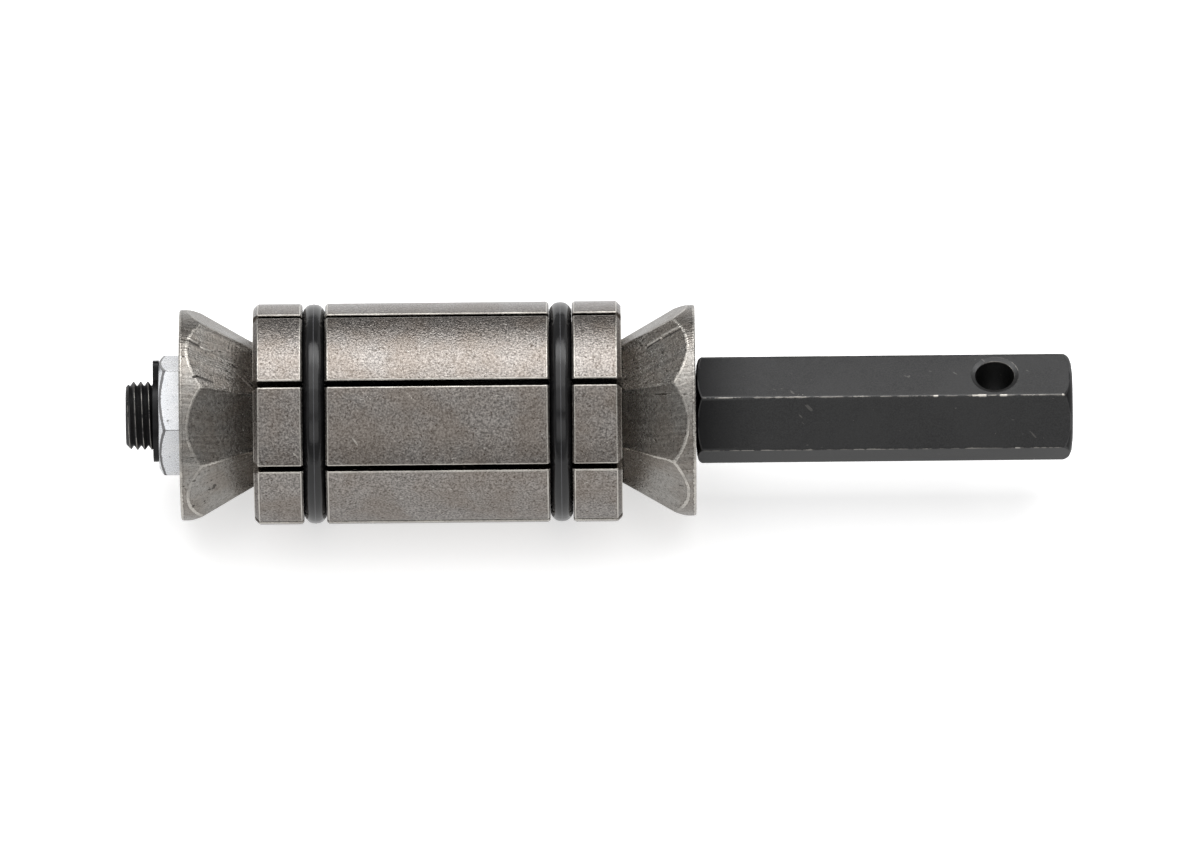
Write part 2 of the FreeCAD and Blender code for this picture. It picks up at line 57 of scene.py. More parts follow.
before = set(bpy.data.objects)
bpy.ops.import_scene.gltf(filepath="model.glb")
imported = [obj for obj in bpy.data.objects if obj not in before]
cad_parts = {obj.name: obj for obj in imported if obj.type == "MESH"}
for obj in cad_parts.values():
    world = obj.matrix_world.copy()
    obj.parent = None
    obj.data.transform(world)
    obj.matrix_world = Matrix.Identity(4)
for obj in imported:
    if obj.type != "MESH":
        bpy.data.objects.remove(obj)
CAD_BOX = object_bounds()

# The screw's axis is X, its drive end points to +X, Z is up, and X = 0 is the jaws' middle.
MM = 0.001
JAWS = 8
HALF_SECTOR = math.pi / JAWS
WELD = 0.002 * MM
SLIVER = 0.0005 * MM
# The angle between two faces above which the edge between them is drawn sharp.
SHARP, SHARP_FACETS, SHARP_THREAD = math.radians(38), math.radians(24), math.radians(50)
JAW_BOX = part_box("jaw_1")
NUT_CONE_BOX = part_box("nut_end_cone")
NUT_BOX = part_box("draw_nut")
SCREW_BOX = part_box("drive_screw")
RING_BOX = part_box("drive_end_ring")


# Properties


def length(name, note, default):
    """A length in metres."""
    return FloatProperty(name=name, description=note, default=default, unit="LENGTH", precision=5)


def angle(name, note, degrees):
    """An angle, given here in degrees."""
    default = math.radians(degrees)
    return FloatProperty(name=name, description=note, default=default, unit="ROTATION")


def colour(name, note, default):
    """A linear colour."""
    return FloatVectorProperty(
        name=name, description=note, default=default, subtype="COLOR", size=3, min=0, max=1
    )


def amount(name, note, default):
    """A plain number."""
    return FloatProperty(name=name, description=note, default=default)


class JawShape(bpy.types.PropertyGroup):
    """Sizes of the eight jaws."""

    crown: length("Crown", "From the screw's axis to the top of a jaw", JAW_BOX[1].z)
    half_length: length("Half length", "Half the length of a jaw", JAW_BOX[1].x)
    bore: length("Bore", "From the screw's axis to a jaw's floor", JAW_BOX[0].z)
    crown_arc: length("Crown arc", "Radius of a jaw's outer face across the screw", 28 * MM)
    slit: length("Slit", "Gap between two closed jaws", 1.05 * MM)
    ramp_angle: angle("Ramp angle", "Slope of the ramps and of the cones' facets", 29)
    ramp_mouth: length("Ramp mouth", "Height of a ramp at the end of a jaw", 12.106 * MM)
    groove_place: length("Groove place", "From the middle of a jaw to a ring groove", 21.6 * MM)
    groove_width: length("Groove width", "Width of a ring groove", 4 * MM)
    groove_floor: length("Groove floor", "From the screw's axis to a groove's floor", 15.7 * MM)
    flank_round: length("Flank rounding", "Rounding along a jaw's long outer edges", 0.24 * MM)
    foot_round: length("Foot rounding", "Rounding along a jaw's long inner edges", 0.3 * MM)
    end_bevel: length("End bevel", "Bevel of the crown at a jaw's ends", 0.85 * MM)
    mouth_bevel: length("Mouth bevel", "Bevel of the crown at a ring groove", 0.36 * MM)
    lip: length("Lip", "Rounding of the bevels' edges", 0.13 * MM)


class ConeShape(bpy.types.PropertyGroup):
    """Sizes of the two faceted cones."""

    back: length("Back", "From the middle of the jaws to a cone's back", -NUT_CONE_BOX[0].x)
    rim: length("Rim", "Radius of the turned rim", NUT_CONE_BOX[1].z)
    reach: length("Length", "Length of a cone", 20.7 * MM)
    facet_back: length("Facet height", "Height that a facet would have at the back", 19.254 * MM)
    bore: length("Bore", "Radius of the hole for the screw", 6.25 * MM)
    bore_edge: length("Bore edge", "Chamfer at the mouths of the bore", 0.4 * MM)
    back_round: length("Back rounding", "Rounding at the back of the rim", 0.35 * MM)
    edge_round: length("Edge rounding", "Half the width of a rounded edge", 0.2 * MM)
    pocket_depth: length("Pocket depth", "Depth of the nut's pocket", 6.3 * MM)
    pocket_flat: length("Pocket flat", "From the axis to a side of the nut's pocket", 9.55 * MM)


class NutShape(bpy.types.PropertyGroup):
    """Sizes of the draw nut."""

    face: length("Face", "From the middle of the jaws to the nut's outer face", -NUT_BOX[0].x)
    thickness: length("Thickness", "Thickness of the nut", 10 * MM)
    flat: length("Flat", "From the axis to a flat", 9.5 * MM)
    bore: length("Bore", "Radius of the nut's bore", 6.05 * MM)
    bore_edge: length("Bore edge", "Chamfer at the mouths of the bore", 0.5 * MM)
    chamfer_angle: angle("Chamfer angle", "Slope of the chamfer round the face", 30)
    turn: angle("Turn", "Turn of the nut about the screw's axis", 22.2)


class ScrewShape(bpy.types.PropertyGroup):
    """Sizes of the threaded rod and its hex shank."""

    tip: length("Tip", "From the middle of the jaws to the screw's tip", -SCREW_BOX[0].x)
    head: length("Head", "From the middle of the jaws to the shank's end", SCREW_BOX[1].x)
    shoulder: length("Shoulder", "From the middle of the jaws to the shank", 45.25 * MM)
    rod: length("Rod", "Radius of the rod and of its thread's crests", 6 * MM)
    pitch: length("Pitch", "Step of the thread", 1.25 * MM)
    thread_depth: length("Thread depth", "Depth of the thread", 0.72 * MM)
    thread_length: length("Thread length", "Length of the thread from the tip", 60 * MM)
    tip_chamfer: length("Tip chamfer", "Chamfer at the tip", 0.95 * MM)
    flat: length("Flat", "From the axis to a flat of the shank", 8.45 * MM)
    edge_round: length("Edge rounding", "Rounding along the shank's long edges", 0.14 * MM)
    turn: angle("Turn", "Direction of the flat that the cross hole starts from", 85.5)
    shoulder_chamfer: length("Shoulder chamfer", "Chamfer at the shoulder", 1.05 * MM)
    head_chamfer: length("Head chamfer", "Chamfer at the free end", 1.75 * MM)
    hole: length("Hole", "Radius of the cross hole", 3.4 * MM)
    hole_mouth: length("Hole mouth", "Radius of the countersink", 4.2 * MM)
    hole_sink: length("Hole sink", "Depth of the countersink", 0.3 * MM)
    hole_from_end: length("Hole place", "From the free end to the cross hole", 13.7 * MM)


class RingShape(bpy.types.PropertyGroup):
    """Sizes of the two rubber rings."""

    place: length("Place", "From the jaws' middle to a ring", (RING_BOX[0].x + RING_BOX[1].x) / 2)
    radius: length("Radius", "From the screw's axis to the middle of a ring's cord", 17.53 * MM)
    cord: length("Cord", "Radius of a ring's cord", 1.71 * MM)
    tail: length("Tail", "How far a ring's arc runs on past its jaw", 4.6 * MM)
    seam: length("Seam", "Height of the moulding seam round the outside", 0.055 * MM)


class Finishes(bpy.types.PropertyGroup):
    """Colours of the finishes."""

    jaw: colour("Jaw steel", "Pressed steel of the jaws", (0.272, 0.2535, 0.238))
    cone: colour("Cone steel", "Milled steel of the cones", (0.334, 0.32, 0.3))
    rust: colour("Brown tint", "Thin brown film on the steel", (0.19, 0.14, 0.1))
    bare: colour("Bare steel", "Steel rubbed bright along the edges", (0.66, 0.63, 0.58))
    zinc: colour("Zinc", "Bright zinc plate of the nut", (0.97, 0.98, 1.0))
    spring: colour("Spring steel", "Blackened steel of the circlip", (0.022, 0.022, 0.0225))
    oxide: colour("Black oxide", "Blackened steel of the screw", (0.062, 0.062, 0.0625))
    rubber: colour("Rubber", "Black rubber of the rings", (0.0065, 0.0065, 0.007))


class StageSettings(bpy.types.PropertyGroup):
    """The floor, the lights and the camera."""

    floor: colour("Floor", "Colour of the floor as the tool mirrors it", (0.3, 0.3, 0.3))
    paper: colour("Paper", "Colour of the floor in the picture", (1.0, 1.0, 1.0))
    floor_width: length("Floor width", "Width of the floor", 24.0)
    table: amount("Table light", "The floor's own light as the tool mirrors it", 0.62)
    glow: amount("Glow", "The floor's own light in the picture", 0.545)
    surround: amount("Surround", "Brightness of the room", 0.27)
    overhead: amount("Overhead", "Brightness of the overhead softbox", 3.25)
    right: amount("Right", "Brightness of the right rear softbox", 0.26)
    top: amount("Top", "Brightness of the top softbox", 1.3)
    upper: amount("Upper", "Brightness of the upper front softbox", 0.63)
    front: amount("Front", "Brightness of the front softbox", 0.74)
    elevation: angle("Elevation", "Height of the camera above the horizon", 52)
    roll: angle("Roll", "How far the camera leans", 0.56)
    distance: length("Distance", "From the camera to the tool", 4.0)
    frame_width: length("Frame width", "Width of the picture at the tool", 210.6 * MM)
    across: length("Across", "Place along the screw at the picture's middle", 28.4 * MM)
    below: length("Below", "How far the picture's middle lies below the screw", 3.04 * MM)


# Meshes


def turn_about_screw(points, turn):
    """Points turned about the X axis, from +Y towards +Z."""
    x, y, z = np.moveaxis(points, -1, 0)
    return np.stack(
        [x, y * math.cos(turn) - z * math.sin(turn), y * math.sin(turn) + z * math.cos(turn)], -1
    )


def round_place(along, radius, direction):
    """The point at a place along the screw and at a radius, in a direction from +Y towards +Z."""
    along, radius, direction = np.broadcast_arrays(along, radius, direction)
    return np.stack([along, radius * np.cos(direction), radius * np.sin(direction)], -1)


def make_piece(name, sheets, sharp_angle=SHARP):
    """A closed mesh of sheets, welded where their borders meet, with its faces outwards.

    A sheet is a grid of points, how worn each is, and its flat place if a pattern needs that.
    """
    points, edges, places, quads = [], [], [], []
    start = 0
    for grid, edge, *flat in sheets:
        rows, columns = grid.shape[:2]
        index = start + np.arange(rows * columns).reshape(rows, columns)
        cells = [index[:-1, :-1], index[1:, :-1], index[1:, 1:], index[:-1, 1:]]
        quads.append(np.stack(cells, -1).reshape(-1, 4))
        points.append(grid.reshape(-1, 3))
        edges.append(np.broadcast_to(edge, (rows, columns)).ravel())
        places += [np.stack(np.broadcast_arrays(*pair), -1).reshape(-1, 2) for pair in flat]
        start += rows * columns
    quads = np.concatenate(quads)
    mesh = bpy.data.meshes.new(name)
    mesh.from_pydata(np.concatenate(points), [], quads)
    edges = np.concatenate(edges).astype(np.float32)
    mesh.attributes.new("edge", "FLOAT", "POINT").data.foreach_set("value", edges)
    if places:
        corners = np.concatenate(places)[quads.ravel()].astype(np.float32)
        mesh.uv_layers.new(name="place").data.foreach_set("uv", corners.ravel())

    work = bmesh.new()
    work.from_mesh(mesh)
    bmesh.ops.remove_doubles(work, verts=work.verts, dist=WELD)
    bmesh.ops.dissolve_degenerate(work, edges=work.edges, dist=SLIVER)
    bmesh.ops.recalc_face_normals(work, faces=work.faces)
    open_edges = sum(1 for edge in work.edges if not edge.is_manifold)
    work.to_mesh(mesh)
    work.free()
    if open_edges:
        raise RuntimeError(f"{name} has {open_edges} open edges")
    mesh.shade_smooth()
    mesh.set_sharp_from_angle(angle=sharp_angle)
    piece = bpy.data.objects.new(name, mesh)
    bpy.context.scene.collection.objects.link(piece)
    return piece


def dress(piece, body, nodes, material):
    """Give a piece its body, the nodes that it stands for and its material."""
    piece.data.materials.append(material)
    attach(piece, body)
    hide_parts(*nodes)


def round_corner(before, corner, after, radius, steps):
    """An arc in place of a corner, tangent to the lines towards the points before and after it.

    The arc's centre lies on the corner's bisector, at radius / sin(half the corner's angle).
    """
    back = before - corner
    back = back / np.linalg.norm(back, axis=-1, keepdims=True)
    ahead = after - corner
    ahead = ahead / np.linalg.norm(ahead, axis=-1, keepdims=True)
    half = np.arccos(np.clip((back * ahead).sum(-1, keepdims=True), -1, 1)) / 2
    middle = back + ahead
    middle = middle / np.linalg.norm(middle, axis=-1, keepdims=True)
    centre = corner + middle * radius / np.sin(half)
    first = corner + back * radius / np.tan(half) - centre
    last = corner + ahead * radius / np.tan(half) - centre
    sweep = (math.pi - 2 * half)[..., None, :]
    share = np.linspace(0, 1, steps)[:, None]
    start = first[..., None, :] * np.sin((1 - share) * sweep)
    end = last[..., None, :] * np.sin(share * sweep)
    return centre[..., None, :] + (start + end) / np.sin(sweep)


# Shapes


def jaw_outline(shape, floor, crown_inset, side_inset, in_groove):
    """Half of a jaw's section at many stations, from the middle of its floor to that of its crown.

    The flank is the line y = z tan(half sector) - gap / cos(half sector). The crown is an arc whose
    centre lies below the screw's axis. Arcs tangent to both sides replace the two corners. Inside a
    groove, the part above the groove's floor follows a circle about the screw's axis instead.
    """
    slope = math.tan(HALF_SECTOR)
    gap = (shape.slit / 2 + side_inset) / math.cos(HALF_SECTOR)
    centre = shape.crown - shape.crown_arc
    arc = shape.crown_arc - crown_inset

    def meet(middle, radius):
        """Height at which the flank meets a circle whose centre has the height middle."""
        b = slope * gap + middle
        c = gap**2 + middle**2 - radius**2
        return (b + np.sqrt(b**2 - (slope**2 + 1) * c)) / (slope**2 + 1)

    def on_flank(height, gap=gap):
        return np.stack([height * slope - gap, height], -1)

    foot, shoulder = on_flank(floor), on_flank(meet(centre, arc))
    groove_height = meet(0, shape.groove_floor)
    up = np.array([slope, 1.0])
    inwards = np.array([-1.0, 0.0])
    tangent = np.stack([centre - shoulder[:, 1], shoulder[:, 0]], -1)
    foot_arc = round_corner(foot + inwards, foot, foot + up, shape.foot_round, 4)
    shoulder_arc = round_corner(shoulder - up, shoulder, shoulder + tangent, shape.flank_round, 6)

    def flank_run(low, high, *shares):
        return on_flank(low[:, None] + (high - low)[:, None] * np.array(shares), gap[:, None])

    floor_run = foot_arc[:, :1] * np.array([0.0, 0.55, 0.9])[None, :, None]
    floor_run[..., 1] = floor[:, None]
    lower = flank_run(foot_arc[:, -1, 1], groove_height, 0.1, 0.5, 1.0)
    upper = flank_run(groove_height, shoulder_arc[:, 0, 1], 0.4, 0.85, 0.97)
    end = shoulder_arc[:, -1]
    steps = np.array([0.98, 0.88, 0.66, 0.42, 0.2, 0.0])
    lean = np.arctan2(end[:, 0], end[:, 1] - centre)[:, None] * steps
    crown = np.stack([arc[:, None] * np.sin(lean), centre + arc[:, None] * np.cos(lean)], -1)
    outside = np.concatenate([upper, shoulder_arc, crown], 1)

    at_floor = on_flank(groove_height)
    sweep = np.arctan2(at_floor[:, 0], at_floor[:, 1])[:, None]
    sweep = sweep * (1 - np.linspace(0, 1, outside.shape[1] + 1)[1:])
    inside = shape.groove_floor * np.stack([np.sin(sweep), np.cos(sweep)], -1)
    outline = [floor_run, foot_arc, lower, np.where(in_groove[:, None, None], inside, outside)]
    # Wear of the floor, the foot, the flank, the shoulder and the crown; the flank's small negative
    # value paints shade into the slit.
    worn = [0] * 3 + [0.6] * 4 + [-0.2] * 6 + [1] * 6 + [0] * 6
    on_crown = [0] * 10 + [0, 0.5] + [1] * 13
    return np.concatenate(outline, 1), np.array(worn, float), np.array(on_crown, float)


def jaw_stations(shape):
    """Stations from the middle of a jaw to its end: place, crown inset, side inset, groove, wear.

    At the end and at both mouths of the ring groove, place and inset grow together along a bevel
    of 45 degrees. Wear is 1 along the edges, and -1 marks the places between in the ring groove,
    which get painted shade.
    """
    near = shape.groove_place - shape.groove_width / 2
    far = shape.groove_place + shape.groove_width / 2
    ramp_start = shape.half_length - (shape.ramp_mouth - shape.bore) / math.tan(shape.ramp_angle)
    lip, end = shape.lip, shape.half_length

    def bevel_rows(bevel, outer_wear, dull):
        """Rows over a bevel: distance from its foot along the jaw, distance down, and wear."""
        return [
            (bevel + 1.8 * lip, 0, 0),
            (bevel + 0.5 * lip, 0, 1),
            (bevel - 0.4 * lip, 0.4 * lip, 1),
            (bevel - 1.3 * lip, 1.3 * lip, dull),
            (1.4 * lip, bevel - 1.4 * lip, dull),
            (0.6 * lip, bevel - 0.6 * lip, outer_wear),
            (0, bevel + 0.1 * lip, outer_wear),
        ]

    # Negative wear on the mouth bevels paints shade at the groove's mouths; the end bevels get
    # darker.
    mouth = bevel_rows(shape.mouth_bevel, 0.5, -0.8)
    last = bevel_rows(shape.end_bevel, 1, -0.4)
    rows = [(share * near, 0, 0, 0, 0) for share in (0, 0.25, 0.5, 0.75, 0.93)]
    rows += [(near - back, down, 0, 0, wear) for back, down, wear in mouth]
    # Rows inside the ring groove get wear -1: painted shade in the groove.
    rows += [(place, 0, 0, 1, -1) for place in (near, ramp_start, far)]
    rows += [(far + back, down, 0, 0, wear) for back, down, wear in mouth[::-1]]
    rows += [(far + (end - far) * share, 0, 0, 0, 0) for share in (0.3, 0.6, 0.85)]
    rows += [(end - back, down, 0.5 * down, 0, wear) for back, down, wear in last]
    return np.array(rows, float).T


def jaw_sheets(shape):
    """The four quarters of a jaw, drawn with its crown up, and the caps at both ends.

    The floor follows the ramp near the ends: its height falls by tan(ramp angle) inwards from the
    ramp's mouth until it reaches the bore.
    """
    place, crown_inset, side_inset, in_groove, wear = jaw_stations(shape)
    ramp = shape.ramp_mouth - (shape.half_length - place) * math.tan(shape.ramp_angle)
    floor = np.maximum(shape.bore, ramp) + side_inset * 0.6
    outline, worn, on_crown = jaw_outline(shape, floor, crown_inset, side_inset, in_groove > 0.5)
    at_end = place > shape.half_length - 0.5 * shape.end_bevel
    worn, wear = np.broadcast_arrays(worn, wear[:, None])
    edge = np.where(wear > 0, np.maximum(worn, wear * on_crown), worn)
    edge = np.where(wear < 0, np.minimum(worn, wear * on_crown), edge)
    edge = np.where(at_end[:, None] & (wear > 0), wear, edge)
    middle = np.array([0.0, (outline[-1, 0, 1] + outline[-1, -1, 1]) / 2])
    shrink = np.array([1, 0.94, 0.5, 0.0])[:, None, None]
    cap = middle + (outline[-1] - middle) * shrink
    cap_edge = np.array([1, -0.2, -0.2, -0.2])[:, None]

    sections = ((place[:, None], outline, edge), (place[-1], cap, cap_edge))
    sheets = []
    for ahead in (1, -1):
        for side in (1, -1):
            for along, section, wear in sections:
                axes = np.broadcast_arrays(ahead * along, side * section[..., 0], section[..., 1])
                sheets.append((np.stack(axes, -1), wear))
    return sheets


def hexagon_radius(direction, flat, first_flat):
    """A hexagon's radius in a direction: flat / cos(angle from the nearest side's middle)."""
    third = math.pi / 3
    off = (direction - first_flat + third / 2) % third - third / 2
    return flat / np.cos(off)


def profile_grids(rows, columns):
    """A profile's places, radii and wear as grids, one row per point of the profile.

    Each point gives its three parts either once for all columns or once per column.
    """
    return [
        np.array([np.broadcast_to(part, columns.shape) for part in parts], float)
        for parts in zip(*rows)
    ]


def cone_sheets(shape, ramp_angle, nut, ahead):
    """A cone's eight sides, its small end towards +x or -x as ahead says.

    Each side is a profile from the bore over the back, the rim and the facet to the front. At a
    distance x from the back a facet's height is facet_back - x tan(ramp angle), so at an angle from
    its middle its radius is that height / cos(angle), and it leaves the rim where that radius
    equals the rim's. A cone with a nut has the nut's pocket in its back, and extra columns beside
    the pocket's corners.
    """
    slope = math.tan(ramp_angle)
    edge, bore, rim, rounding = shape.edge_round, shape.bore, shape.rim, shape.back_round
    mouth = bore + shape.bore_edge
    half = np.concatenate([np.radians([0, 5, 10, 15, 19, 21]), [HALF_SECTOR]])
    samples = np.concatenate([-half[:0:-1], half])
    beside_corner, clear_of_ends = np.radians([0.8, 0.6])
    inside_facets = 7.4 * MM
    sheets = []
    for side in range(JAWS):
        middle = side * 2 * HALF_SECTOR
        off = samples
        if nut is not None:
            turns = nut.turn + np.arange(-12, 12) * math.pi / 3 - middle
            turns = turns[np.abs(turns) < HALF_SECTOR - clear_of_ends]
            near = np.concatenate([turns - beside_corner, turns, turns + beside_corner])
            off = np.concatenate([samples, near[np.abs(near) < HALF_SECTOR]])
            off = np.unique(np.round(off, 5))
            off[[0, -1]] = -HALF_SECTOR, HALF_SECTOR
        sharp = np.abs(off) > HALF_SECTOR - 1e-6
        pull = np.where(sharp, 0.45 * edge, 0)

        def on_facet(along, wear):
            """A point of the profile on the facet, at a place along the screw."""
            return along, (shape.facet_back - along * slope) / np.cos(off) - pull, wear

        if nut is None:
            profile = [(shape.bore_edge, bore, 0), (0, mouth, 0.5), (0, 0.5 * rim, 0)]
        else:
            wall = hexagon_radius(off + middle, shape.pocket_flat, nut.turn + math.pi / 6)
            profile = [(shape.pocket_depth, bore, 0), (shape.pocket_depth, wall, 0)]
            profile += [(0.1 * MM, wall, 0.4), (0, wall + 0.1 * MM, 0.8), (0, (wall + rim) / 2, 0)]
        profile.append((0, rim - 2.2 * rounding, 0))
        for turn in np.linspace(0, math.pi / 2, 5):
            over, out = rounding * (1 - math.cos(turn)), rounding * (1 - math.sin(turn))
            profile.append((over, rim - out, 0.8))
        bound = (shape.facet_back - rim * np.cos(off)) / slope
        worn = 0.72 + 0.5 * (off / HALF_SECTOR) ** 2
        profile += [(2.2 * rounding, rim, 0), (bound - 2.2 * edge, rim, 0)]
        profile.append((bound - edge, rim - 0.2 * pull, worn))
        profile.append((bound, rim - 0.12 * edge - 0.5 * pull, worn))
        profile += [on_facet(bound + edge, worn), on_facet(bound + 2.4 * edge, 0)]
        run = shape.reach - bound
        profile += [on_facet(bound + run * share, 0) for share in (0.25, 0.5, 0.75)]
        profile += [on_facet(shape.reach - 2.4 * edge, 0), on_facet(shape.reach - edge, 1)]
        top = on_facet(shape.reach, 0)[1]
        profile += [(shape.reach, top - edge, 1), (shape.reach, (top + mouth) / 2, 0)]
        profile += [(shape.reach, mouth, 0), (shape.reach - shape.bore_edge, bore, 0), profile[0]]

        along, radius, wear = profile_grids(profile, off)
        faceted = (along > bound - 1e-9) & (along < shape.reach + 1e-9) & (radius > inside_facets)
        wear = np.maximum(wear, 1.0 * (sharp & faceted))
        steps = [np.diff(part, axis=0, prepend=0) for part in (along, radius)]
        flat = (radius * np.sin(off) + 0.05 * side, np.cumsum(np.hypot(*steps), 0))
        points = round_place(ahead * (along - shape.back), radius, off + middle)
        sheets.append((points, wear, flat))
    return sheets


def nut_sheets(shape):
    """The nut's six sides.

    The radius at an angle from a side's middle is flat / cos(angle). A cone of the chamfer's slope
    cuts the corners: it starts at the flats, and meets a side at a distance from the outer face of
    (radius - flat) tan(slope).
    """
    half = np.radians([0, 6, 12, 18, 24, 27.5, 29.2, 30])
    off = np.concatenate([-half[:0:-1], half])
    tight = np.abs(off) > math.radians(29.9)
    bevel = 0.12 * MM
    outer = shape.flat / np.cos(off) - np.where(tight, bevel, 0)
    over = outer - shape.flat
    bound = over * math.tan(shape.chamfer_angle)
    mouth = shape.bore + shape.bore_edge
    face = shape.flat - bevel
    profile = [
        (shape.bore_edge, shape.bore, 0),
        (0, mouth, 1),
        (0, mouth + 0.3 * MM, 0),
        (0, face - 0.5 * MM, 0),
        (0, face, 1),
        (0.05 * MM + 0.4 * bound, face + 0.1 * MM + 0.4 * over, 0),
        (0.05 * MM + bound, outer - 0.03 * MM, 1),
        (0.3 * MM + bound, outer, 1),
        (0.9 * MM + bound, outer, 0),
        (0.5 * shape.thickness, outer, 0),
        (shape.thickness - 0.2 * MM, outer, 0),
        (shape.thickness, outer - 0.2 * MM, 0.5),
        (shape.thickness, mouth, 0),
        (shape.thickness - shape.bore_edge, shape.bore, 0),
        (shape.bore_edge, shape.bore, 0),
    ]
    along, radius, wear = profile_grids(profile, off)
    wear = np.maximum(wear, 1.0 * (tight & (along > bound) & (radius > shape.flat)))
    sheets = []
    for side in range(6):
        middle = shape.turn + math.pi / 6 + side * math.pi / 3
        sheets.append((round_place(along - shape.face, radius, off + middle), wear))
    return sheets


def rod_sheets(shape):
    """The rod with its thread, as one sheet whose rows climb along the helix.

    A point's place is its row's place + pitch x turn, and its depth is the thread's profile at the
    row's phase: a narrow crest, a straight side down, a rounded root and a straight side up. Past
    the thread's end the depth fades to nothing. At the tip the radius stays under a 45 degree
    cone, and the rows before it are laid on the flat end, closer and closer to the axis.
    """
    phases = np.array([0.0, 0.05, 0.1, 0.27, 0.44, 0.5, 0.56, 0.73, 0.9, 0.95])
    depths = np.array([0.0, 0.0, 0.1, 0.52, 0.94, 1.0, 0.94, 0.52, 0.1, 0.0])
    before, turns = 3, math.ceil((shape.shoulder + shape.tip) / shape.pitch) + 2
    climb = (np.arange(-before, turns)[:, None] + phases).reshape(-1, 1)
    depth = np.tile(depths, turns + before).reshape(-1, 1)
    around = np.linspace(0, 1, 61)
    place = (climb + around) * shape.pitch
    run_out, face_run, into_shank = 1.5 * shape.pitch, 1.9 * shape.pitch, 0.4 * MM
    fade = np.clip((shape.thread_length - place) / run_out, 0, 1)
    radius = shape.rod - depth * fade * shape.thread_depth
    face = shape.rod - shape.tip_chamfer
    spiral = face * np.clip(1 + place / face_run, 0, 1)
    radius = np.where(place < 0, spiral, np.minimum(radius, face + place))
    place = np.clip(place, 0, shape.shoulder + shape.tip + into_shank)
    points = round_place(place - shape.tip, radius, around * 2 * math.pi)
    crest = 1.0 * (depth < 0.05) * (place > 0)
    rows = [points[-1:] * np.array([1.0, 1 - share, 1 - share]) for share in (0.0, 0.5, 1.0)]
    end = np.concatenate(rows)
    return [(points, crest), (end, 0)]


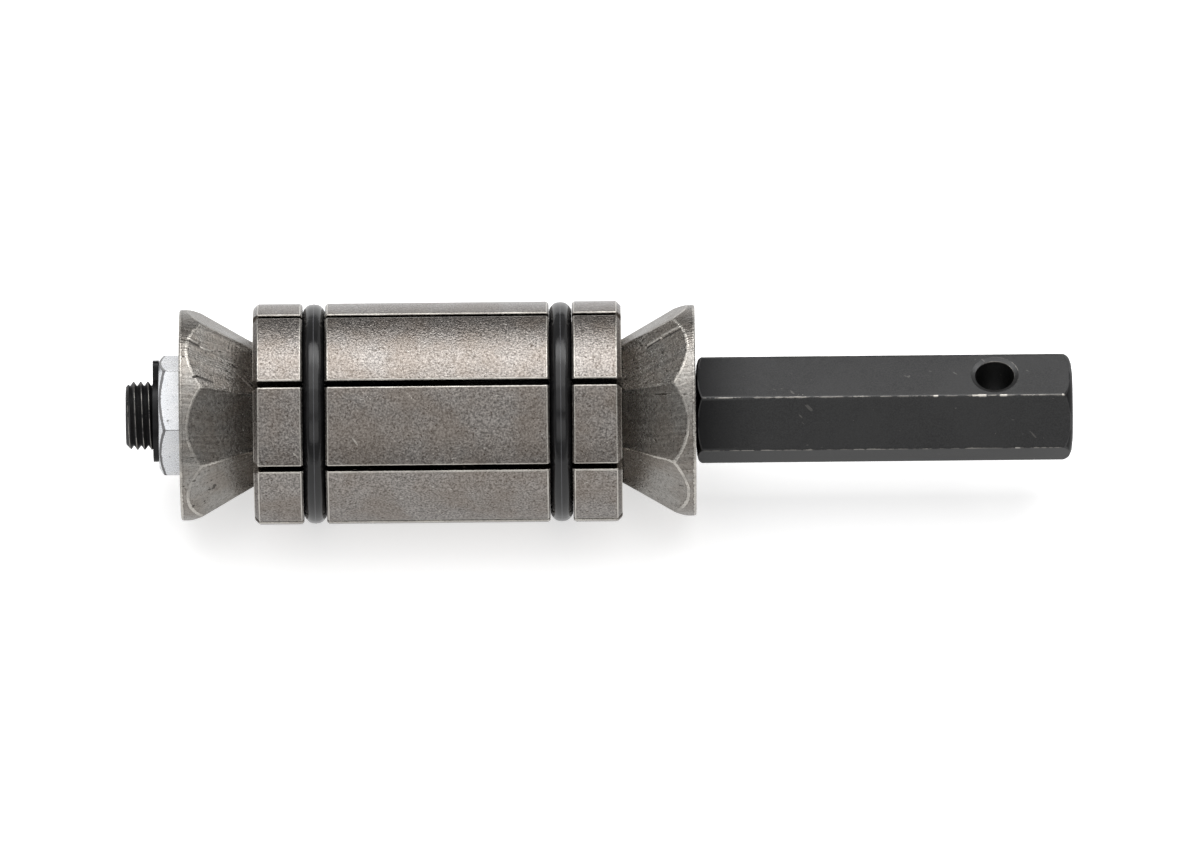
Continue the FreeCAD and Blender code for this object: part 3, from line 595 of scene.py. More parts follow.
def shank_sheets(shape):
    """The hex shank: six sides with rounded edges, both ends turned off, and a cross hole.

    Across a side the outline is flat, and an arc joins it to the next one. An end is turned to a
    low dome: its depth is the chamfer's times a power of the radius over the corner's radius. Round
    the cross hole, a side is a patch whose rings go from the hole's circle to a rectangle. Next to
    the shoulder the sides carry painted shade from the cone, which fades out along them.
    """
    corner = shape.flat / math.cos(math.pi / 6)
    flat_run, window_run, end_run = 4.4 * MM, 5.4 * MM, 3 * MM
    painted_shade_run, most_painted_shade = 16 * MM, 0.6
    across = np.linspace(-flat_run, flat_run, 9)
    ends = np.array([[shape.flat * math.tan(math.pi / 6), shape.flat]])
    turned = np.array([[0.5, -math.sqrt(0.75)]])
    arc = round_corner(ends - [[1, 0]], ends, ends + turned, shape.edge_round, 5)[0]
    right = arc[:3]
    left = right[::-1] * [-1, 1]
    outline = np.concatenate([left, np.stack([across, across * 0 + shape.flat], -1), right])
    reach = np.linalg.norm(outline, axis=1)
    lean = np.arctan2(outline[:, 0], outline[:, 1])
    worn = np.array([1] * len(left) + [0] * len(across) + [1] * len(right), float)

    def end_rows(chamfer, power):
        """Rows at an end, from its middle out and then along: distance from it, radius, wear."""
        rim = np.minimum(reach, corner * (1 - 0.7 * chamfer / corner))
        radii = [rim * share for share in (0, 0.4, 0.7, 0.9, 1)] + [(rim + reach) / 2, reach]
        rows = [(chamfer * (radius / corner) ** power, radius, -1) for radius in radii]
        depth = rows.pop()[0]
        rows += [(depth, reach, 0.7), (depth + 0.25 * MM, reach, worn), (end_run, reach, worn)]
        return profile_grids(rows, reach)

    def straight_rows(places):
        """Rows that repeat the outline at places along the shank."""
        return profile_grids([(place, reach, worn) for place in places], reach)

    def join(*runs):
        """Runs of rows, one after the other."""
        return [np.concatenate(parts) for parts in zip(*runs)]

    hole_place = shape.head - shape.hole_from_end
    window = np.linspace(-window_run, window_run, 13)
    depth, radius, wear = end_rows(shape.shoulder_chamfer, 9)
    places = np.linspace(shape.shoulder + end_run, hole_place + window[0], 9)[1:]
    back = join((shape.shoulder + depth, radius, wear), straight_rows(places))
    # Painted shade on the sides next to the cone, fading out along the shank.
    painted_shade = most_painted_shade * np.clip(1 - (back[0] - shape.shoulder) / painted_shade_run, 0, 1)
    back[2] = back[2] - painted_shade * (back[2] == 0)
    depth, radius, wear = [part[::-1] for part in end_rows(shape.head_chamfer, 8)]
    places = [hole_place + window[-1], (hole_place + window[-1] + shape.head) / 2 - 1 * MM]
    front = join(straight_rows(places), (shape.head - depth, radius, wear))
    beside_hole = straight_rows(hole_place + window)

    # The patch's border goes once round the rectangle, and each point of the hole's circle has the
    # same direction from the hole's middle as its own point of the border.
    borders = [
        np.stack(np.broadcast_arrays(along, sideways), -1)
        for along, sideways in (
            (window, -flat_run),
            (window[-1], across),
            (window[::-1], flat_run),
            (window[0], across[::-1]),
        )
    ]
    border = np.concatenate([part[:-1] for part in borders[:3]] + borders[3:])
    direction = border / np.linalg.norm(border, axis=1, keepdims=True)
    shares = np.array([0.0, 0.12, 0.45, 1.0])[:, None, None]
    patch = direction * shape.hole_mouth * (1 - shares) + border * shares
    # Wear round the hole is stronger on one side: a painted highlight where the light falls.
    lit = np.clip(0.7 + direction @ [0.5, -0.7], 0.2, 1.4)
    patch_wear_and_highlight = np.array([0.85, 0.2, 0.0, 0.0])[:, None] * lit
    hole, sunk = shape.hole, shape.flat - shape.hole_sink
    wall = [(shape.flat, shape.hole_mouth, 0.8)]
    wall += [(shape.flat - 0.05 * MM, shape.hole_mouth - 0.1 * MM, 0)]
    wall += [(sunk + 0.05 * MM, hole + 0.16 * MM, 0), (sunk, hole + 0.05 * MM, 1)]
    wall += [(sunk - 0.1 * MM, hole, 1), (sunk - 0.4 * MM, hole, 0)]
    wall += [(shape.flat / 2, hole, 0), (0, hole, 0)]
    wall += [(-height, out, rub) for height, out, rub in wall[-2::-1]]
    height, out, rub = np.array(wall, float).T[..., None]

    def from_side(turn, along, sideways, outwards):
        """A place that is given along the shank, across one of its sides, and out of that side."""
        points = np.stack(np.broadcast_arrays(along, outwards, sideways), -1)
        return turn_about_screw(points, turn)

    sheets = []
    for side in range(6):
        turn = shape.turn + side * math.pi / 3
        runs = [back, front]
        if side % 3 == 0:
            for part in (slice(0, len(left) + 1), slice(len(left) + len(across) - 1, None)):
                along, radius, wear = (grid[:, part] for grid in beside_hole)
                sheets.append((round_place(along, radius, lean[part] + turn), wear))
            points = from_side(turn, hole_place + patch[..., 0], patch[..., 1], shape.flat)
            sheets.append((points, patch_wear_and_highlight))
        else:
            runs.append(beside_hole)
        sheets += [(round_place(along, radius, lean + turn), wear) for along, radius, wear in runs]
    aside, across_hole = direction.T
    tube = from_side(shape.turn, hole_place + aside * out, across_hole * out, height)
    # The hole's wall wear is also stronger on the lit side: painted highlight.
    sheets.append((tube, rub * lit))
    return sheets


def ring_sheets(shape, along, middle):
    """The part of a ring that lies on one jaw, with a straight tail past each end of its arc.

    The cord's middle follows a circle about the screw's axis over the jaw's sector, and then the
    tangent. On the tail the cord thins by the square of the distance / twice the ring's radius, so
    that with the jaws closed the tail lies inside the next jaw's part. The section is fuller than a
    circle, most of all towards the groove's floor, and a low moulding seam runs round the outside.
    """
    arc = np.linspace(0, HALF_SECTOR, 9)
    tail = np.array([0.0, 0.1, 0.25, 0.45, 0.7, 0.9, 0.97, 1.0, 1.0]) * shape.tail
    thin = np.array([1, 1, 1, 1, 1, 0.97, 0.8, 0.5, 0.0])
    turn = np.concatenate([arc, np.full(len(tail) - 1, HALF_SECTOR)])
    past = np.concatenate([np.zeros(len(arc)), tail[1:]])
    settle, tuck = 1.2 * MM, 0.06 * MM
    ease = np.clip(past / settle, 0, 1)
    cord = shape.cord - tuck * ease * ease * (3 - 2 * ease) - past**2 / (2 * shape.radius)
    cord = cord * np.concatenate([np.ones(len(arc)), thin[1:]])
    turn = np.concatenate([-turn[:0:-1], turn])
    past = np.concatenate([-past[:0:-1], past])
    cord = np.concatenate([cord[:0:-1], cord])[:, None]
    out = np.radians(np.concatenate([[0, 2.2, 4], np.arange(15, 350, 10), [356, 357.8, 360]]))
    outwards = shape.radius + cord * np.cos(out)
    outwards[:, [0, -1]] += shape.seam * (cord > 0.5 * shape.cord)
    base = np.clip(-np.cos(out), 0, 1)
    side = np.sign(np.sin(out)) * np.abs(np.sin(out)) ** np.maximum(0.12, 0.74 - 2.6 * base)
    sideways = along + cord * side * (1.06 + 0.09 * np.clip(1.5 - 2 * np.cos(out), 0, 1))
    direction = turn[:, None] + middle
    points = round_place(sideways, outwards, direction)
    drift = round_place(0 * past, past, turn + middle + math.pi / 2)
    # The seam's columns carry the mark for the rubber's paler strip and painted highlight.
    seam = np.where((out < 0.01) | (out > 6.28), 1.0, 0.0)
    return [(points + drift[:, None], seam)]


# Shading


class Value:
    """What a socket of a node tree puts out. Arithmetic on it adds nodes to the tree."""

    def __init__(self, tree, socket):
        self.tree, self.socket = tree, socket

    def math(self, operation, *values):
        """The result of a Math node."""
        inputs = dict(enumerate((*values, 0.0)[:3]))
        return add_node(self.tree, "ShaderNodeMath", inputs, operation=operation)

    def vector(self, operation, inputs, output=0):
        """The result of a Vector Math node whose first input is this value."""
        inputs = {0: self, **inputs}
        return add_node(self.tree, "ShaderNodeVectorMath", inputs, output, operation=operation)

    def __add__(self, other):
        return self.math("ADD", self, other)

    def __sub__(self, other):
        return self.math("SUBTRACT", self, other)

    def __rsub__(self, other):
        return self.math("SUBTRACT", other, self)

    def __mul__(self, other):
        return self.math("MULTIPLY", self, other)

    def __truediv__(self, other):
        return self.math("DIVIDE", self, other)

    def plus(self, other, share):
        """This value and a share of another one."""
        return self.math("MULTIPLY_ADD", other, share, self)

    def stretch(self, low, high, start=0.0, end=1.0):
        """This value from low to high, carried over smoothly to start to end and held there."""
        inputs = {"Value": self, "From Min": low, "From Max": high, "To Min": start, "To Max": end}
        return add_node(self.tree, "ShaderNodeMapRange", inputs, interpolation_type="SMOOTHSTEP")

    def noise(self, scale, detail=3.0, roughness=0.5):
        """A noise value at this place."""
        inputs = {"Vector": self, "Scale": scale, "Detail": detail, "Roughness": roughness}
        return add_node(self.tree, "ShaderNodeTexNoise", inputs)


def add_node(tree, kind, inputs=None, output=0, **settings):
    """An output of a new node with its settings, and with each input set to a value or linked."""
    node = tree.nodes.new(kind)
    for name, value in settings.items():
        setattr(node, name, value)
    for name, value in (inputs or {}).items():
        if isinstance(value, Value):
            tree.links.new(value.socket, node.inputs[name])
        else:
            node.inputs[name].default_value = value
    return Value(tree, node.outputs[output])


def mix_colours(share, first, second, blend_type="MIX"):
    """Two colours mixed by a share, at least one of the three being a value of a tree."""
    tree = next(part.tree for part in (share, first, second) if isinstance(part, Value))
    first, second = (part if isinstance(part, Value) else (*part, 1) for part in (first, second))
    inputs = {0: share, 6: first, 7: second}
    return add_node(tree, "ShaderNodeMix", inputs, 2, data_type="RGBA", blend_type=blend_type)


def lay_over(colour, layers):
    """A colour under layers: each is a mask, how strongly it counts, and a colour."""
    for mask, strength, tint in layers:
        colour = mix_colours(mask * strength, colour, tint)
    return colour


def shade(colour, share):
    """A plain colour made darker or lighter."""
    return tuple(share * part for part in colour)


def object_place(tree):
    """The place on the object, in millimetres."""
    return add_node(tree, "ShaderNodeTexCoord", output="Object").vector("SCALE", {"Scale": 1 / MM})


def metal_grain(tree, given):
    """Metal grain: a fine speckle, large soft patches and sparse spots."""
    place = object_place(tree)
    fine = place.noise(given["Fine"], 4.0, 0.65)
    patch = place.noise(given["Coarse"], 3.0, 0.6)
    spot = place.noise(given["Spot size"], 3.0, 0.6)
    return {
        "Speckle": fine.stretch(0.3, 0.7),
        "Patch": patch.stretch(0.34, 0.66),
        "Spot": (spot - (0.86 - given["Spot share"] * 0.36)).stretch(0.0, 0.06),
        "Height": fine + spot * 0.5,
    }


def edge_wear(tree, given):
    """Wear along edges: a ragged bare line, a darker line beside it, and darkening for painted
    shade.
    """
    edge = add_node(tree, "ShaderNodeAttribute", output="Fac", attribute_name="edge")
    place = object_place(tree)
    ragged = (place.noise(given["Fine"], 5.0, 0.7) - 0.5) * given["Ragged"]
    over = edge + ragged * 2.0 - (1.0 - given["Spread"])
    patch = place.noise(0.16, 2.0).stretch(0.42, 0.58, 1.0, 0.0)
    return {
        "Bare": over.stretch(-0.06, 0.1) * (1.0 - patch * given["Patchy"]),
        "Beside": over.stretch(-0.5, -0.2) * over.stretch(-0.1, 0.02, 1.0, 0.0),
        # Negative edge values darken: painted shade in slits, grooves and beside the cone; darker
        # bevels.
        "Dull and shade": edge.stretch(-0.7, -0.1, 1.0, 0.0),
    }


def scratches(tree, given):
    """Short straight scratches in two directions: stretched noise where it passes a limit."""
    place = object_place(tree)
    masks = []
    for lean, stretched in ((0.35, (0.06, 1.6, 1.6)), (-0.8, (1.3, 0.05, 1.3))):
        inputs = {"Vector": place, "Rotation": (lean, 0.2, lean)}
        turned = add_node(tree, "ShaderNodeMapping", inputs)
        value = turned.vector("MULTIPLY", {1: stretched}).noise(given["Size"], 2.0)
        masks.append((value - (0.8 - given["Share"] * 0.2)).stretch(0.0, 0.03))
    return {"Scratch": masks[0].math("MAXIMUM", *masks)}


def cutter_marks(tree, given):
    """Cutter marks on a flat: arcs that a turning cutter leaves across the piece's flat map."""
    flat = add_node(tree, "ShaderNodeUVMap", uv_map="place").vector("SCALE", {"Scale": 1 / MM})
    away = flat.vector("DISTANCE", {1: given["Centre"]}, "Value") + flat.noise(0.25) * 1.2
    inputs = {"W": away, "Scale": given["Spacing"], "Detail": 3.0}
    lined = add_node(tree, "ShaderNodeTexNoise", inputs, noise_dimensions="1D")
    return {"Mark": lined.stretch(0.36, 0.64)}


def line_mark(tree, given):
    """A straight mark on the piece: 1 within its width of the line from its start to its end."""
    place = object_place(tree)
    whole = given["End"].vector("SUBTRACT", {1: given["Start"]})
    offset = place.vector("SUBTRACT", {1: given["Start"]})
    ahead = offset.vector("DOT_PRODUCT", {1: whole}, "Value")
    share = ahead / whole.vector("DOT_PRODUCT", {1: whole}, "Value")
    share = add_node(tree, "ShaderNodeClamp", {"Value": share})
    away = offset.vector("DISTANCE", {1: whole.vector("SCALE", {"Scale": share})}, "Value")
    ragged = place.noise(1.5, 2.0) - 0.5
    return {"Mark": (away / given["Width"]).plus(ragged, 0.5).stretch(0.2, 1.0, 1.0, 0.0)}


# The inputs of each shader node group with their usual values, and what works out its outputs.
EFFECTS = {
    "Metal grain": (
        {"Fine": 3.0, "Coarse": 0.12, "Spot size": 0.7, "Spot share": 0.3},
        metal_grain,
    ),
    "Edge wear": ({"Spread": 0.4, "Ragged": 0.35, "Fine": 1.1, "Patchy": 0.0}, edge_wear),
    "Scratches": ({"Size": 1.0, "Share": 0.3}, scratches),
    "Cutter marks": ({"Spacing": 1.4, "Centre": (0.0, 30.0, 0.0)}, cutter_marks),
    "Line mark": ({"Start": (0.0, 0.0, 0.0), "End": (0.0, 0.0, 1.0), "Width": 0.3}, line_mark),
}


def make_group(name):
    """A shader node group with the inputs that EFFECTS lists and the outputs that it works out."""
    inputs, work_out = EFFECTS[name]
    tree = bpy.data.node_groups.new(name, "ShaderNodeTree")
    for label, default in inputs.items():
        kind = "NodeSocketVector" if isinstance(default, tuple) else "NodeSocketFloat"
        tree.interface.new_socket(label, in_out="INPUT", socket_type=kind).default_value = default
    given = tree.nodes.new("NodeGroupInput").outputs
    results = work_out(tree, {label: Value(tree, given[label]) for label in inputs})
    for label in results:
        tree.interface.new_socket(label, in_out="OUTPUT", socket_type="NodeSocketFloat")
    end = tree.nodes.new("NodeGroupOutput").inputs
    for label, value in results.items():
        tree.links.new(value.socket, end[label])
    return tree


def place_group(tree, name, **values):
    """The outputs of a node group that is placed in a material with its own values."""
    node = tree.nodes.new("ShaderNodeGroup")
    node.node_tree = bpy.data.node_groups.get(name) or make_group(name)
    for label, value in values.items():
        node.inputs[label.replace("_", " ").capitalize()].default_value = value
    return {socket.name: Value(tree, socket) for socket in node.outputs}


def start_material(name, values):
    """A material whose Principled shader has the given values, and its node tree."""
    material = bpy.data.materials.new(name)
    material.use_nodes = True
    for label, value in values.items():
        material.node_tree.nodes["Principled BSDF"].inputs[label].default_value = value
    return material, material.node_tree


def finish_material(material, colour, roughness, height, depth):
    """The material, with a colour, a roughness and the bumps of a height linked to its shader."""
    tree = material.node_tree
    bumps = {"Height": height, "Distance": depth, "Strength": 1.0}
    normal = add_node(tree, "ShaderNodeBump", bumps)
    shader = tree.nodes["Principled BSDF"].inputs
    for name, value in (("Base Color", colour), ("Roughness", roughness), ("Normal", normal)):
        tree.links.new(value.socket, shader[name])
    return material


def steel_material(name, finish, steel, look, cutter=None, lines=()):
    """Worn steel: a speckled, brown-tinted film that is rubbed bright along the edges.

    Each line is a start, an end and a width in millimetres, and whether it is a bright ridge.
    """
    material, tree = start_material(name, {"Metallic": 1.0})
    grain = place_group(tree, "Metal grain", **look["grain"])
    wear = place_group(tree, "Edge wear", **look["wear"])
    scratch = place_group(tree, "Scratches", size=1.0, share=0.36)["Scratch"]
    dark, light = shade(steel, 1 - look["contrast"]), shade(steel, 1 + look["contrast"])
    colour = mix_colours(grain["Speckle"], dark, light)
    colour = lay_over(colour, [(grain["Patch"], 0.33, finish.rust)])
    height = grain["Height"]
    if cutter:
        mark = place_group(tree, "Cutter marks", **cutter)["Mark"]
        nick = place_group(tree, "Scratches", size=0.7, share=0.5)["Scratch"]
        ribbed = mix_colours(mark, (0.55, 0.55, 0.55), (1.25, 1.25, 1.25))
        colour = mix_colours(0.18, colour, ribbed, "MULTIPLY")
        colour = lay_over(colour, [(nick, 0.75, (0.03, 0.025, 0.02))])
        height = height + mark * 0.4 - nick
    layers = [
        (grain["Spot"], 0.75, (0.06, 0.043, 0.03)),
        (scratch, 0.5, finish.bare),
        (wear["Beside"], 0.4, (0.05, 0.04, 0.035)),
        # Painted shade in the slits and ring grooves, and darker bevels.
        (wear["Dull and shade"], 0.85, (0.045, 0.036, 0.03)),
        (wear["Bare"], look["rubbed"], finish.bare),
    ]
    for start, stop, width, ridge in lines:
        mark = place_group(tree, "Line mark", start=start, end=stop, width=width)["Mark"]
        layers.append((mark, 0.8, finish.bare if ridge else (0.03, 0.026, 0.024)))
        height = height.plus(mark, 2.0 if ridge else -2.0)
    rough = grain["Speckle"].stretch(0.0, 1.0, look["rough"] - 0.05, look["rough"] + 0.08)
    rough = rough.plus(wear["Bare"], -0.06).plus(grain["Patch"], 0.05).plus(grain["Spot"], 0.2)
    colour = lay_over(colour, layers)
    return finish_material(material, colour, rough, height - scratch * 0.8, 0.08 * MM)


def zinc_material(name, zinc):
    """Bright zinc plate: fine speckle, small dull spots and a thin dark film beside the edges."""
    material, tree = start_material(name, {"Metallic": 0.5})
    grain = place_group(tree, "Metal grain", fine=3.5, coarse=0.3, spot_size=1.4, spot_share=0.62)
    wear = place_group(tree, "Edge wear", spread=0.28, ragged=0.35, fine=1.5)
    layers = [
        (grain["Patch"], 0.2, (0.6, 0.66, 0.74)),
        (grain["Spot"], 0.8, (0.13, 0.12, 0.11)),
        (wear["Bare"], 0.85, (0.07, 0.065, 0.065)),
    ]
    colour = lay_over(mix_colours(grain["Speckle"], shade(zinc, 0.88), zinc), layers)
    rough = grain["Speckle"].stretch(0.0, 1.0, 0.22, 0.36)
    return finish_material(material, colour, rough, grain["Height"], 0.02 * MM)


def oxide_material(name, oxide, bare, spot_share, lines=()):
    """Black oxide: a dark film with paler patches, light nicks and thin rubbed edges.

    Each line is a bright nick: its start, its end and its width in millimetres.
    """
    values = {"Metallic": 0.85, "Specular Tint": (0.5, 0.5, 0.5, 1)}
    material, tree = start_material(name, values)
    grain = {"fine": 4.0, "coarse": 0.09, "spot_size": 1.2, "spot_share": spot_share}
    grain = place_group(tree, "Metal grain", **grain)
    wear = place_group(tree, "Edge wear", spread=0.08, ragged=0.9, fine=0.6, patchy=0.6)
    scratch = place_group(tree, "Scratches", size=0.8, share=0.3)["Scratch"]
    pale, worn = shade(oxide, 1.22), shade(bare, 0.6)
    layers = [
        (grain["Patch"], 0.5, pale),
        (grain["Spot"], 0.55, worn),
        (scratch, 0.2, worn),
        # Painted shade on the shank's sides next to the cone, and darker turned ends.
        (wear["Dull and shade"], 0.8, (0.012, 0.012, 0.013)),
        (wear["Bare"], 0.7, worn),
    ]
    colour = lay_over(mix_colours(grain["Speckle"], shade(oxide, 0.87), pale), layers)
    for start, stop, width in lines:
        nick = place_group(tree, "Line mark", start=start, end=stop, width=width)["Mark"]
        colour = mix_colours(nick, colour, bare)
    rough = grain["Speckle"].stretch(0.0, 1.0, 0.32, 0.36)
    return finish_material(material, colour, rough, grain["Height"], 0.005 * MM)


def rubber_material(name, rubber):
    """Smooth black rubber: a faint bloom in patches, fine dust specks and a paler seam that paints
    in its highlight.
    """
    material, tree = start_material(name, {"Metallic": 0.0})
    grain = place_group(tree, "Metal grain", fine=4.0, coarse=0.2, spot_size=2.5, spot_share=0.45)
    seam = place_group(tree, "Edge wear", spread=0.4, ragged=0.25, fine=0.8)["Bare"]
    colour = mix_colours(grain["Patch"], rubber, shade(rubber, 1.6))
    colour = lay_over(colour, [(grain["Spot"], 0.12, (0.12, 0.11, 0.1))])
    # The paler seam strip is bright enough to be a painted highlight along the seam.
    colour = mix_colours(seam, colour, shade(rubber, 13))
    rough = grain["Patch"].stretch(0.0, 1.0, 0.1, 0.22)
    return finish_material(material, colour, rough, grain["Height"], 0.01 * MM)


def floor_material(stage):
    """A matt floor with a light of its own, whiter in the picture than in the reflections."""
    values = {"Metallic": 0.0, "Roughness": 0.9, "Specular IOR Level": 0.0}
    material, tree = start_material("floor", values)
    matt = tree.nodes["Principled BSDF"]
    seen = add_node(tree, "ShaderNodeLightPath", output="Is Camera Ray")
    tree.links.new(mix_colours(seen, stage.floor, stage.paper).socket, matt.inputs["Base Color"])
    strength = seen.math("MULTIPLY_ADD", seen, stage.glow - stage.table, stage.table)
    lit = add_node(tree, "ShaderNodeEmission", {"Strength": strength})
    whole = add_node(tree, "ShaderNodeAddShader", {0: Value(tree, matt.outputs[0]), 1: lit})
    tree.links.new(whole.socket, tree.nodes["Material Output"].inputs["Surface"])
    return material


# Operators

# Marks on the cones' upper facets: start, end and width in millimetres, and if it is a ridge.
CONE_LINES = [
    ((-43.6, 2.9, 18.3), (-41.8, 2.4, 17.4), 0.3, True),
    ((-43.6, 2.3, 18.3), (-41.3, 1.7, 17.1), 0.3, False),
    ((-41.3, 1.7, 17.1), (-39.5, 1.6, 16.1), 0.3, True),
    ((-43.8, -6.0, 18.4), (-41.8, -5.0, 17.4), 0.28, False),
    ((-41.8, -5.0, 17.4), (-39.2, -5.2, 15.9), 0.28, False),
    ((42.4, 4.8, 17.7), (39.4, 4.1, 16.0), 0.34, True),
    ((42.6, 4.1, 17.8), (39.6, 3.4, 16.1), 0.3, False),
    ((39.1, 3.8, 15.8), (36.8, 3.2, 14.6), 0.34, True),
    ((38.9, 3.3, 15.7), (36.8, 2.6, 14.6), 0.3, False),
]

# Nicks along the shank's edges and round its cross hole: start, end and width in millimetres.
SHANK_LINES = [
    ((93.8, -4.16, 8.72), (94.7, -4.16, 8.72), 0.22),
    ((94.9, -4.16, 8.72), (95.9, -4.16, 8.72), 0.34),
    ((98.6, -4.16, 8.72), (99.6, -4.16, 8.72), 0.25),
    ((87.0, -4.16, 8.72), (87.5, -4.16, 8.72), 0.25),
    ((109.5, -4.16, 8.72), (109.8, -4.16, 8.72), 0.25),
    ((101.2, -9.63, 0.76), (101.9, -9.63, 0.76), 0.2),
]

# The softboxes, one metre away: height, span and side are angles in degrees, as seen from the
# tool's front, and width and shift along the screw are in metres.
SOFTBOXES = [
    ("overhead", 120, 22, 0, 1.5, 0.15),
    ("right", 146, 40, 42, 0.7, 0),
    ("top", 94, 30, 0, 1.5, 0),
    ("upper", 66, 26, 0, 1.5, 0),
    ("front", 33, 24, 0, 1.5, 0),
]


class MakeJaws(bpy.types.Operator):
    """Make the eight jaws"""

    bl_idname = "expander.make_jaws"
    bl_label = "Jaws"

    def execute(self, context):
        finish = context.scene.expander_finishes
        look = {
            "grain": {"fine": 2.8, "coarse": 0.11, "spot_size": 2.2, "spot_share": 0.7},
            "wear": {"spread": 0.45, "ragged": 0.45, "fine": 1.2, "patchy": 0.35},
            "rough": 0.115,
            "contrast": 0.58,
            "rubbed": 0.85,
        }
        material = steel_material("jaw_steel", finish, finish.jaw, look)
        sheets = jaw_sheets(context.scene.expander_jaws)
        for index in range(JAWS):
            turn = 2 * HALF_SECTOR * index
            name = f"jaw_{index + 1}"
            turned = [(turn_about_screw(points, turn), wear) for points, wear in sheets]
            piece = make_piece(f"{name}_steel", turned)
            dress(piece, f"{name}_slider", [name], material)
        return {"FINISHED"}


class MakeCones(bpy.types.Operator):
    """Make the two faceted cones"""

    bl_idname = "expander.make_cones"
    bl_label = "Cones"

    def execute(self, context):
        scene = context.scene
        finish = scene.expander_finishes
        shape = scene.expander_cones
        look = {
            "grain": {"fine": 2.2, "coarse": 0.16, "spot_size": 2.0, "spot_share": 0.62},
            "wear": {"spread": 0.46, "ragged": 0.95, "fine": 1.5, "patchy": 0.85},
            "rough": 0.24,
            "contrast": 0.2,
            "rubbed": 0.75,
        }
        cutter = {"spacing": 1.1, "centre": (6.0, 40.0, 0.0)}
        material = steel_material("cone_steel", finish, finish.cone, look, cutter, CONE_LINES)
        slope = scene.expander_jaws.ramp_angle
        ends = [("nut_end_cone", "nut_cone", scene.expander_nut, 1)]
        ends += [("drive_end_cone", "drive_cone", None, -1)]
        for name, body, nut, ahead in ends:
            sheets = cone_sheets(shape, slope, nut, ahead)
            piece = make_piece(f"{name}_steel", sheets, SHARP_FACETS)
            dress(piece, body, [name], material)
        return {"FINISHED"}


class MakeNut(bpy.types.Operator):
    """Make the draw nut"""

    bl_idname = "expander.make_nut"
    bl_label = "Nut"

    def execute(self, context):
        shape = context.scene.expander_nut
        material = zinc_material("zinc_plate", context.scene.expander_finishes.zinc)
        piece = make_piece("draw_nut_plated", nut_sheets(shape), SHARP_FACETS)
        dress(piece, "nut_cone", ["draw_nut"], material)
        return {"FINISHED"}


class MakeScrew(bpy.types.Operator):
    """Make the threaded rod and its hex shank"""

    bl_idname = "expander.make_screw"
    bl_label = "Screw"

    def execute(self, context):
        shape = context.scene.expander_screw
        finish = context.scene.expander_finishes
        tints = finish.oxide, finish.bare
        material = oxide_material("black_oxide", *tints, spot_share=0.36, lines=SHANK_LINES)
        rod = make_piece("threaded_rod", rod_sheets(shape), SHARP_THREAD)
        shank = make_piece("hex_shank", shank_sheets(shape), SHARP_FACETS)
        for piece in (rod, shank):
            dress(piece, "screw", ["drive_screw"], material)
        return {"FINISHED"}


class FinishCirclip(bpy.types.Operator):
    """Give the circlip its finish"""

    bl_idname = "expander.finish_circlip"
    bl_label = "Circlip"

    def execute(self, context):
        finish = context.scene.expander_finishes
        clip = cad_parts["retaining_circlip"]
        material = oxide_material("spring_steel", finish.spring, finish.bare, spot_share=0.5)
        clip.data.materials.clear()
        clip.data.materials.append(material)
        return {"FINISHED"}


class MakeRings(bpy.types.Operator):
    """Make the two rubber rings, one part on each jaw"""

    bl_idname = "expander.make_rings"
    bl_label = "Rings"

    def execute(self, context):
        shape = context.scene.expander_rings
        material = rubber_material("rubber", context.scene.expander_finishes.rubber)
        for node, along in (("nut_end_ring", -shape.place), ("drive_end_ring", shape.place)):
            for index in range(JAWS):
                middle = math.pi / 2 + 2 * HALF_SECTOR * index
                piece = make_piece(f"{node}_{index + 1}", ring_sheets(shape, along, middle))
                dress(piece, f"jaw_{index + 1}_slider", [node], material)
        return {"FINISHED"}


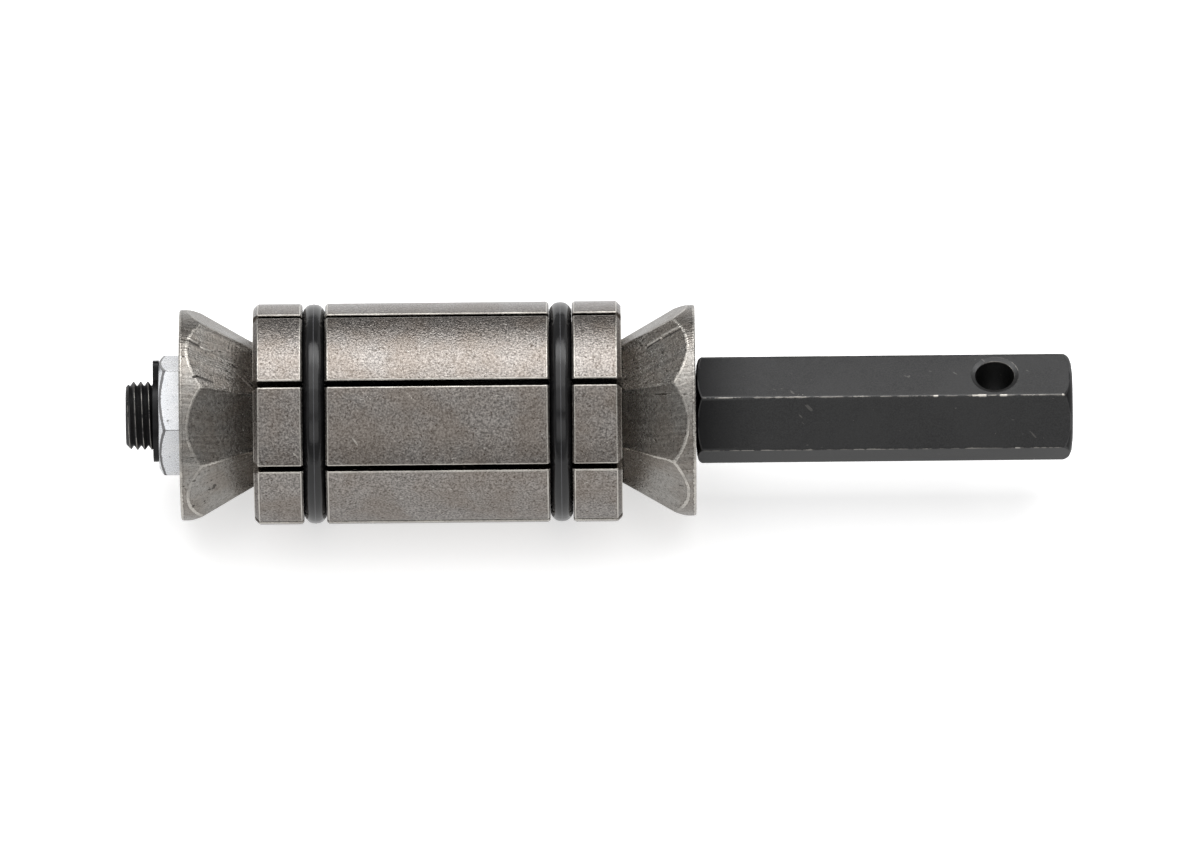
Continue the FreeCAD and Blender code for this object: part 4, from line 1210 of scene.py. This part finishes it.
class MakeStage(bpy.types.Operator):
    """Make the floor, the lights and the camera"""

    bl_idname = "expander.make_stage"
    bl_label = "Stage"

    def hang_softbox(self, name, brightness, height, span, side, wide, shift):
        """A softbox whose numbers are those that SOFTBOXES lists."""
        light = bpy.data.lights.new(name, "AREA")
        light.shape = "RECTANGLE"
        light.size, light.size_y = wide, 2 * math.tan(math.radians(span) / 2)
        light.energy = brightness * light.size * light.size_y * math.pi
        softbox = bpy.data.objects.new(name, light)
        bpy.context.scene.collection.objects.link(softbox)
        height, side = math.radians(height), math.radians(side)
        near = math.cos(side)
        direction = Vector((math.sin(side), -near * math.cos(height), near * math.sin(height)))
        softbox.location = direction + Vector((shift, 0, 0))
        softbox.rotation_euler = direction.to_track_quat("Z", "Y").to_euler()

    def execute(self, context):
        scene = context.scene
        stage = scene.expander_stage
        half, low = stage.floor_width / 2, CAD_BOX[0].z
        corners = [(x * half, y * half, low) for x, y in ((-1, -1), (1, -1), (1, 1), (-1, 1))]
        mesh = bpy.data.meshes.new("floor")
        mesh.from_pydata(corners, [], [(0, 1, 2, 3)])
        floor = bpy.data.objects.new("floor", mesh)
        scene.collection.objects.link(floor)
        mesh.materials.append(floor_material(stage))

        world = bpy.data.worlds.new("surround")
        world.use_nodes = True
        room = world.node_tree.nodes["Background"].inputs
        room["Color"].default_value = (1, 1, 1, 1)
        room["Strength"].default_value = stage.surround
        scene.world = world
        for name, *place in SOFTBOXES:
            self.hang_softbox(name, getattr(stage, name), *place)

        away = Vector((0, -math.cos(stage.elevation), math.sin(stage.elevation)))
        up = Vector((0, math.sin(stage.elevation), math.cos(stage.elevation)))
        target = Vector((stage.across, 0, 0)) - up * stage.below
        camera = bpy.data.cameras.new("camera")
        camera.sensor_fit = "HORIZONTAL"
        camera.lens = camera.sensor_width * stage.distance / stage.frame_width
        view = bpy.data.objects.new("camera", camera)
        scene.collection.objects.link(view)
        turned = Matrix((Vector((1, 0, 0)), up, away)).transposed()
        turned = turned @ Matrix.Rotation(-stage.roll, 3, "Z")
        view.matrix_world = Matrix.Translation(target + away * stage.distance) @ turned.to_4x4()
        scene.camera = view
        scene.view_settings.view_transform = "Standard"
        return {"FINISHED"}


class ExpanderPanel(bpy.types.Panel):
    """Lists the pieces and the stage"""

    bl_idname = "VIEW3D_PT_expander"
    bl_label = "Exhaust pipe expander"
    bl_space_type = "VIEW_3D"
    bl_region_type = "UI"
    bl_category = "Expander"

    def draw(self, context):
        for operator, settings in STEPS:
            box = self.layout.box()
            box.operator(operator.bl_idname)
            for name in settings:
                group = getattr(context.scene, name)
                for key in group.__annotations__:
                    box.prop(group, key)


GROUPS = {
    "expander_jaws": JawShape,
    "expander_cones": ConeShape,
    "expander_nut": NutShape,
    "expander_screw": ScrewShape,
    "expander_rings": RingShape,
    "expander_finishes": Finishes,
    "expander_stage": StageSettings,
}
STEPS = [
    (MakeStage, ["expander_stage", "expander_finishes"]),
    (MakeJaws, ["expander_jaws"]),
    (MakeCones, ["expander_cones"]),
    (MakeNut, ["expander_nut"]),
    (MakeScrew, ["expander_screw"]),
    (FinishCirclip, []),
    (MakeRings, ["expander_rings"]),
]
OPERATORS = [operator for operator, settings in STEPS]


def register():
    for kind in [*GROUPS.values(), *OPERATORS, ExpanderPanel]:
        bpy.utils.register_class(kind)
    for name, kind in GROUPS.items():
        setattr(bpy.types.Scene, name, PointerProperty(type=kind))


def unregister():
    for name in GROUPS:
        delattr(bpy.types.Scene, name)
    for kind in reversed([*GROUPS.values(), *OPERATORS, ExpanderPanel]):
        bpy.utils.unregister_class(kind)


def main():
    register()
    for operator in OPERATORS:
        section, name = operator.bl_idname.split(".")
        getattr(getattr(bpy.ops, section), name)()


if __name__ == "__main__":
    main()
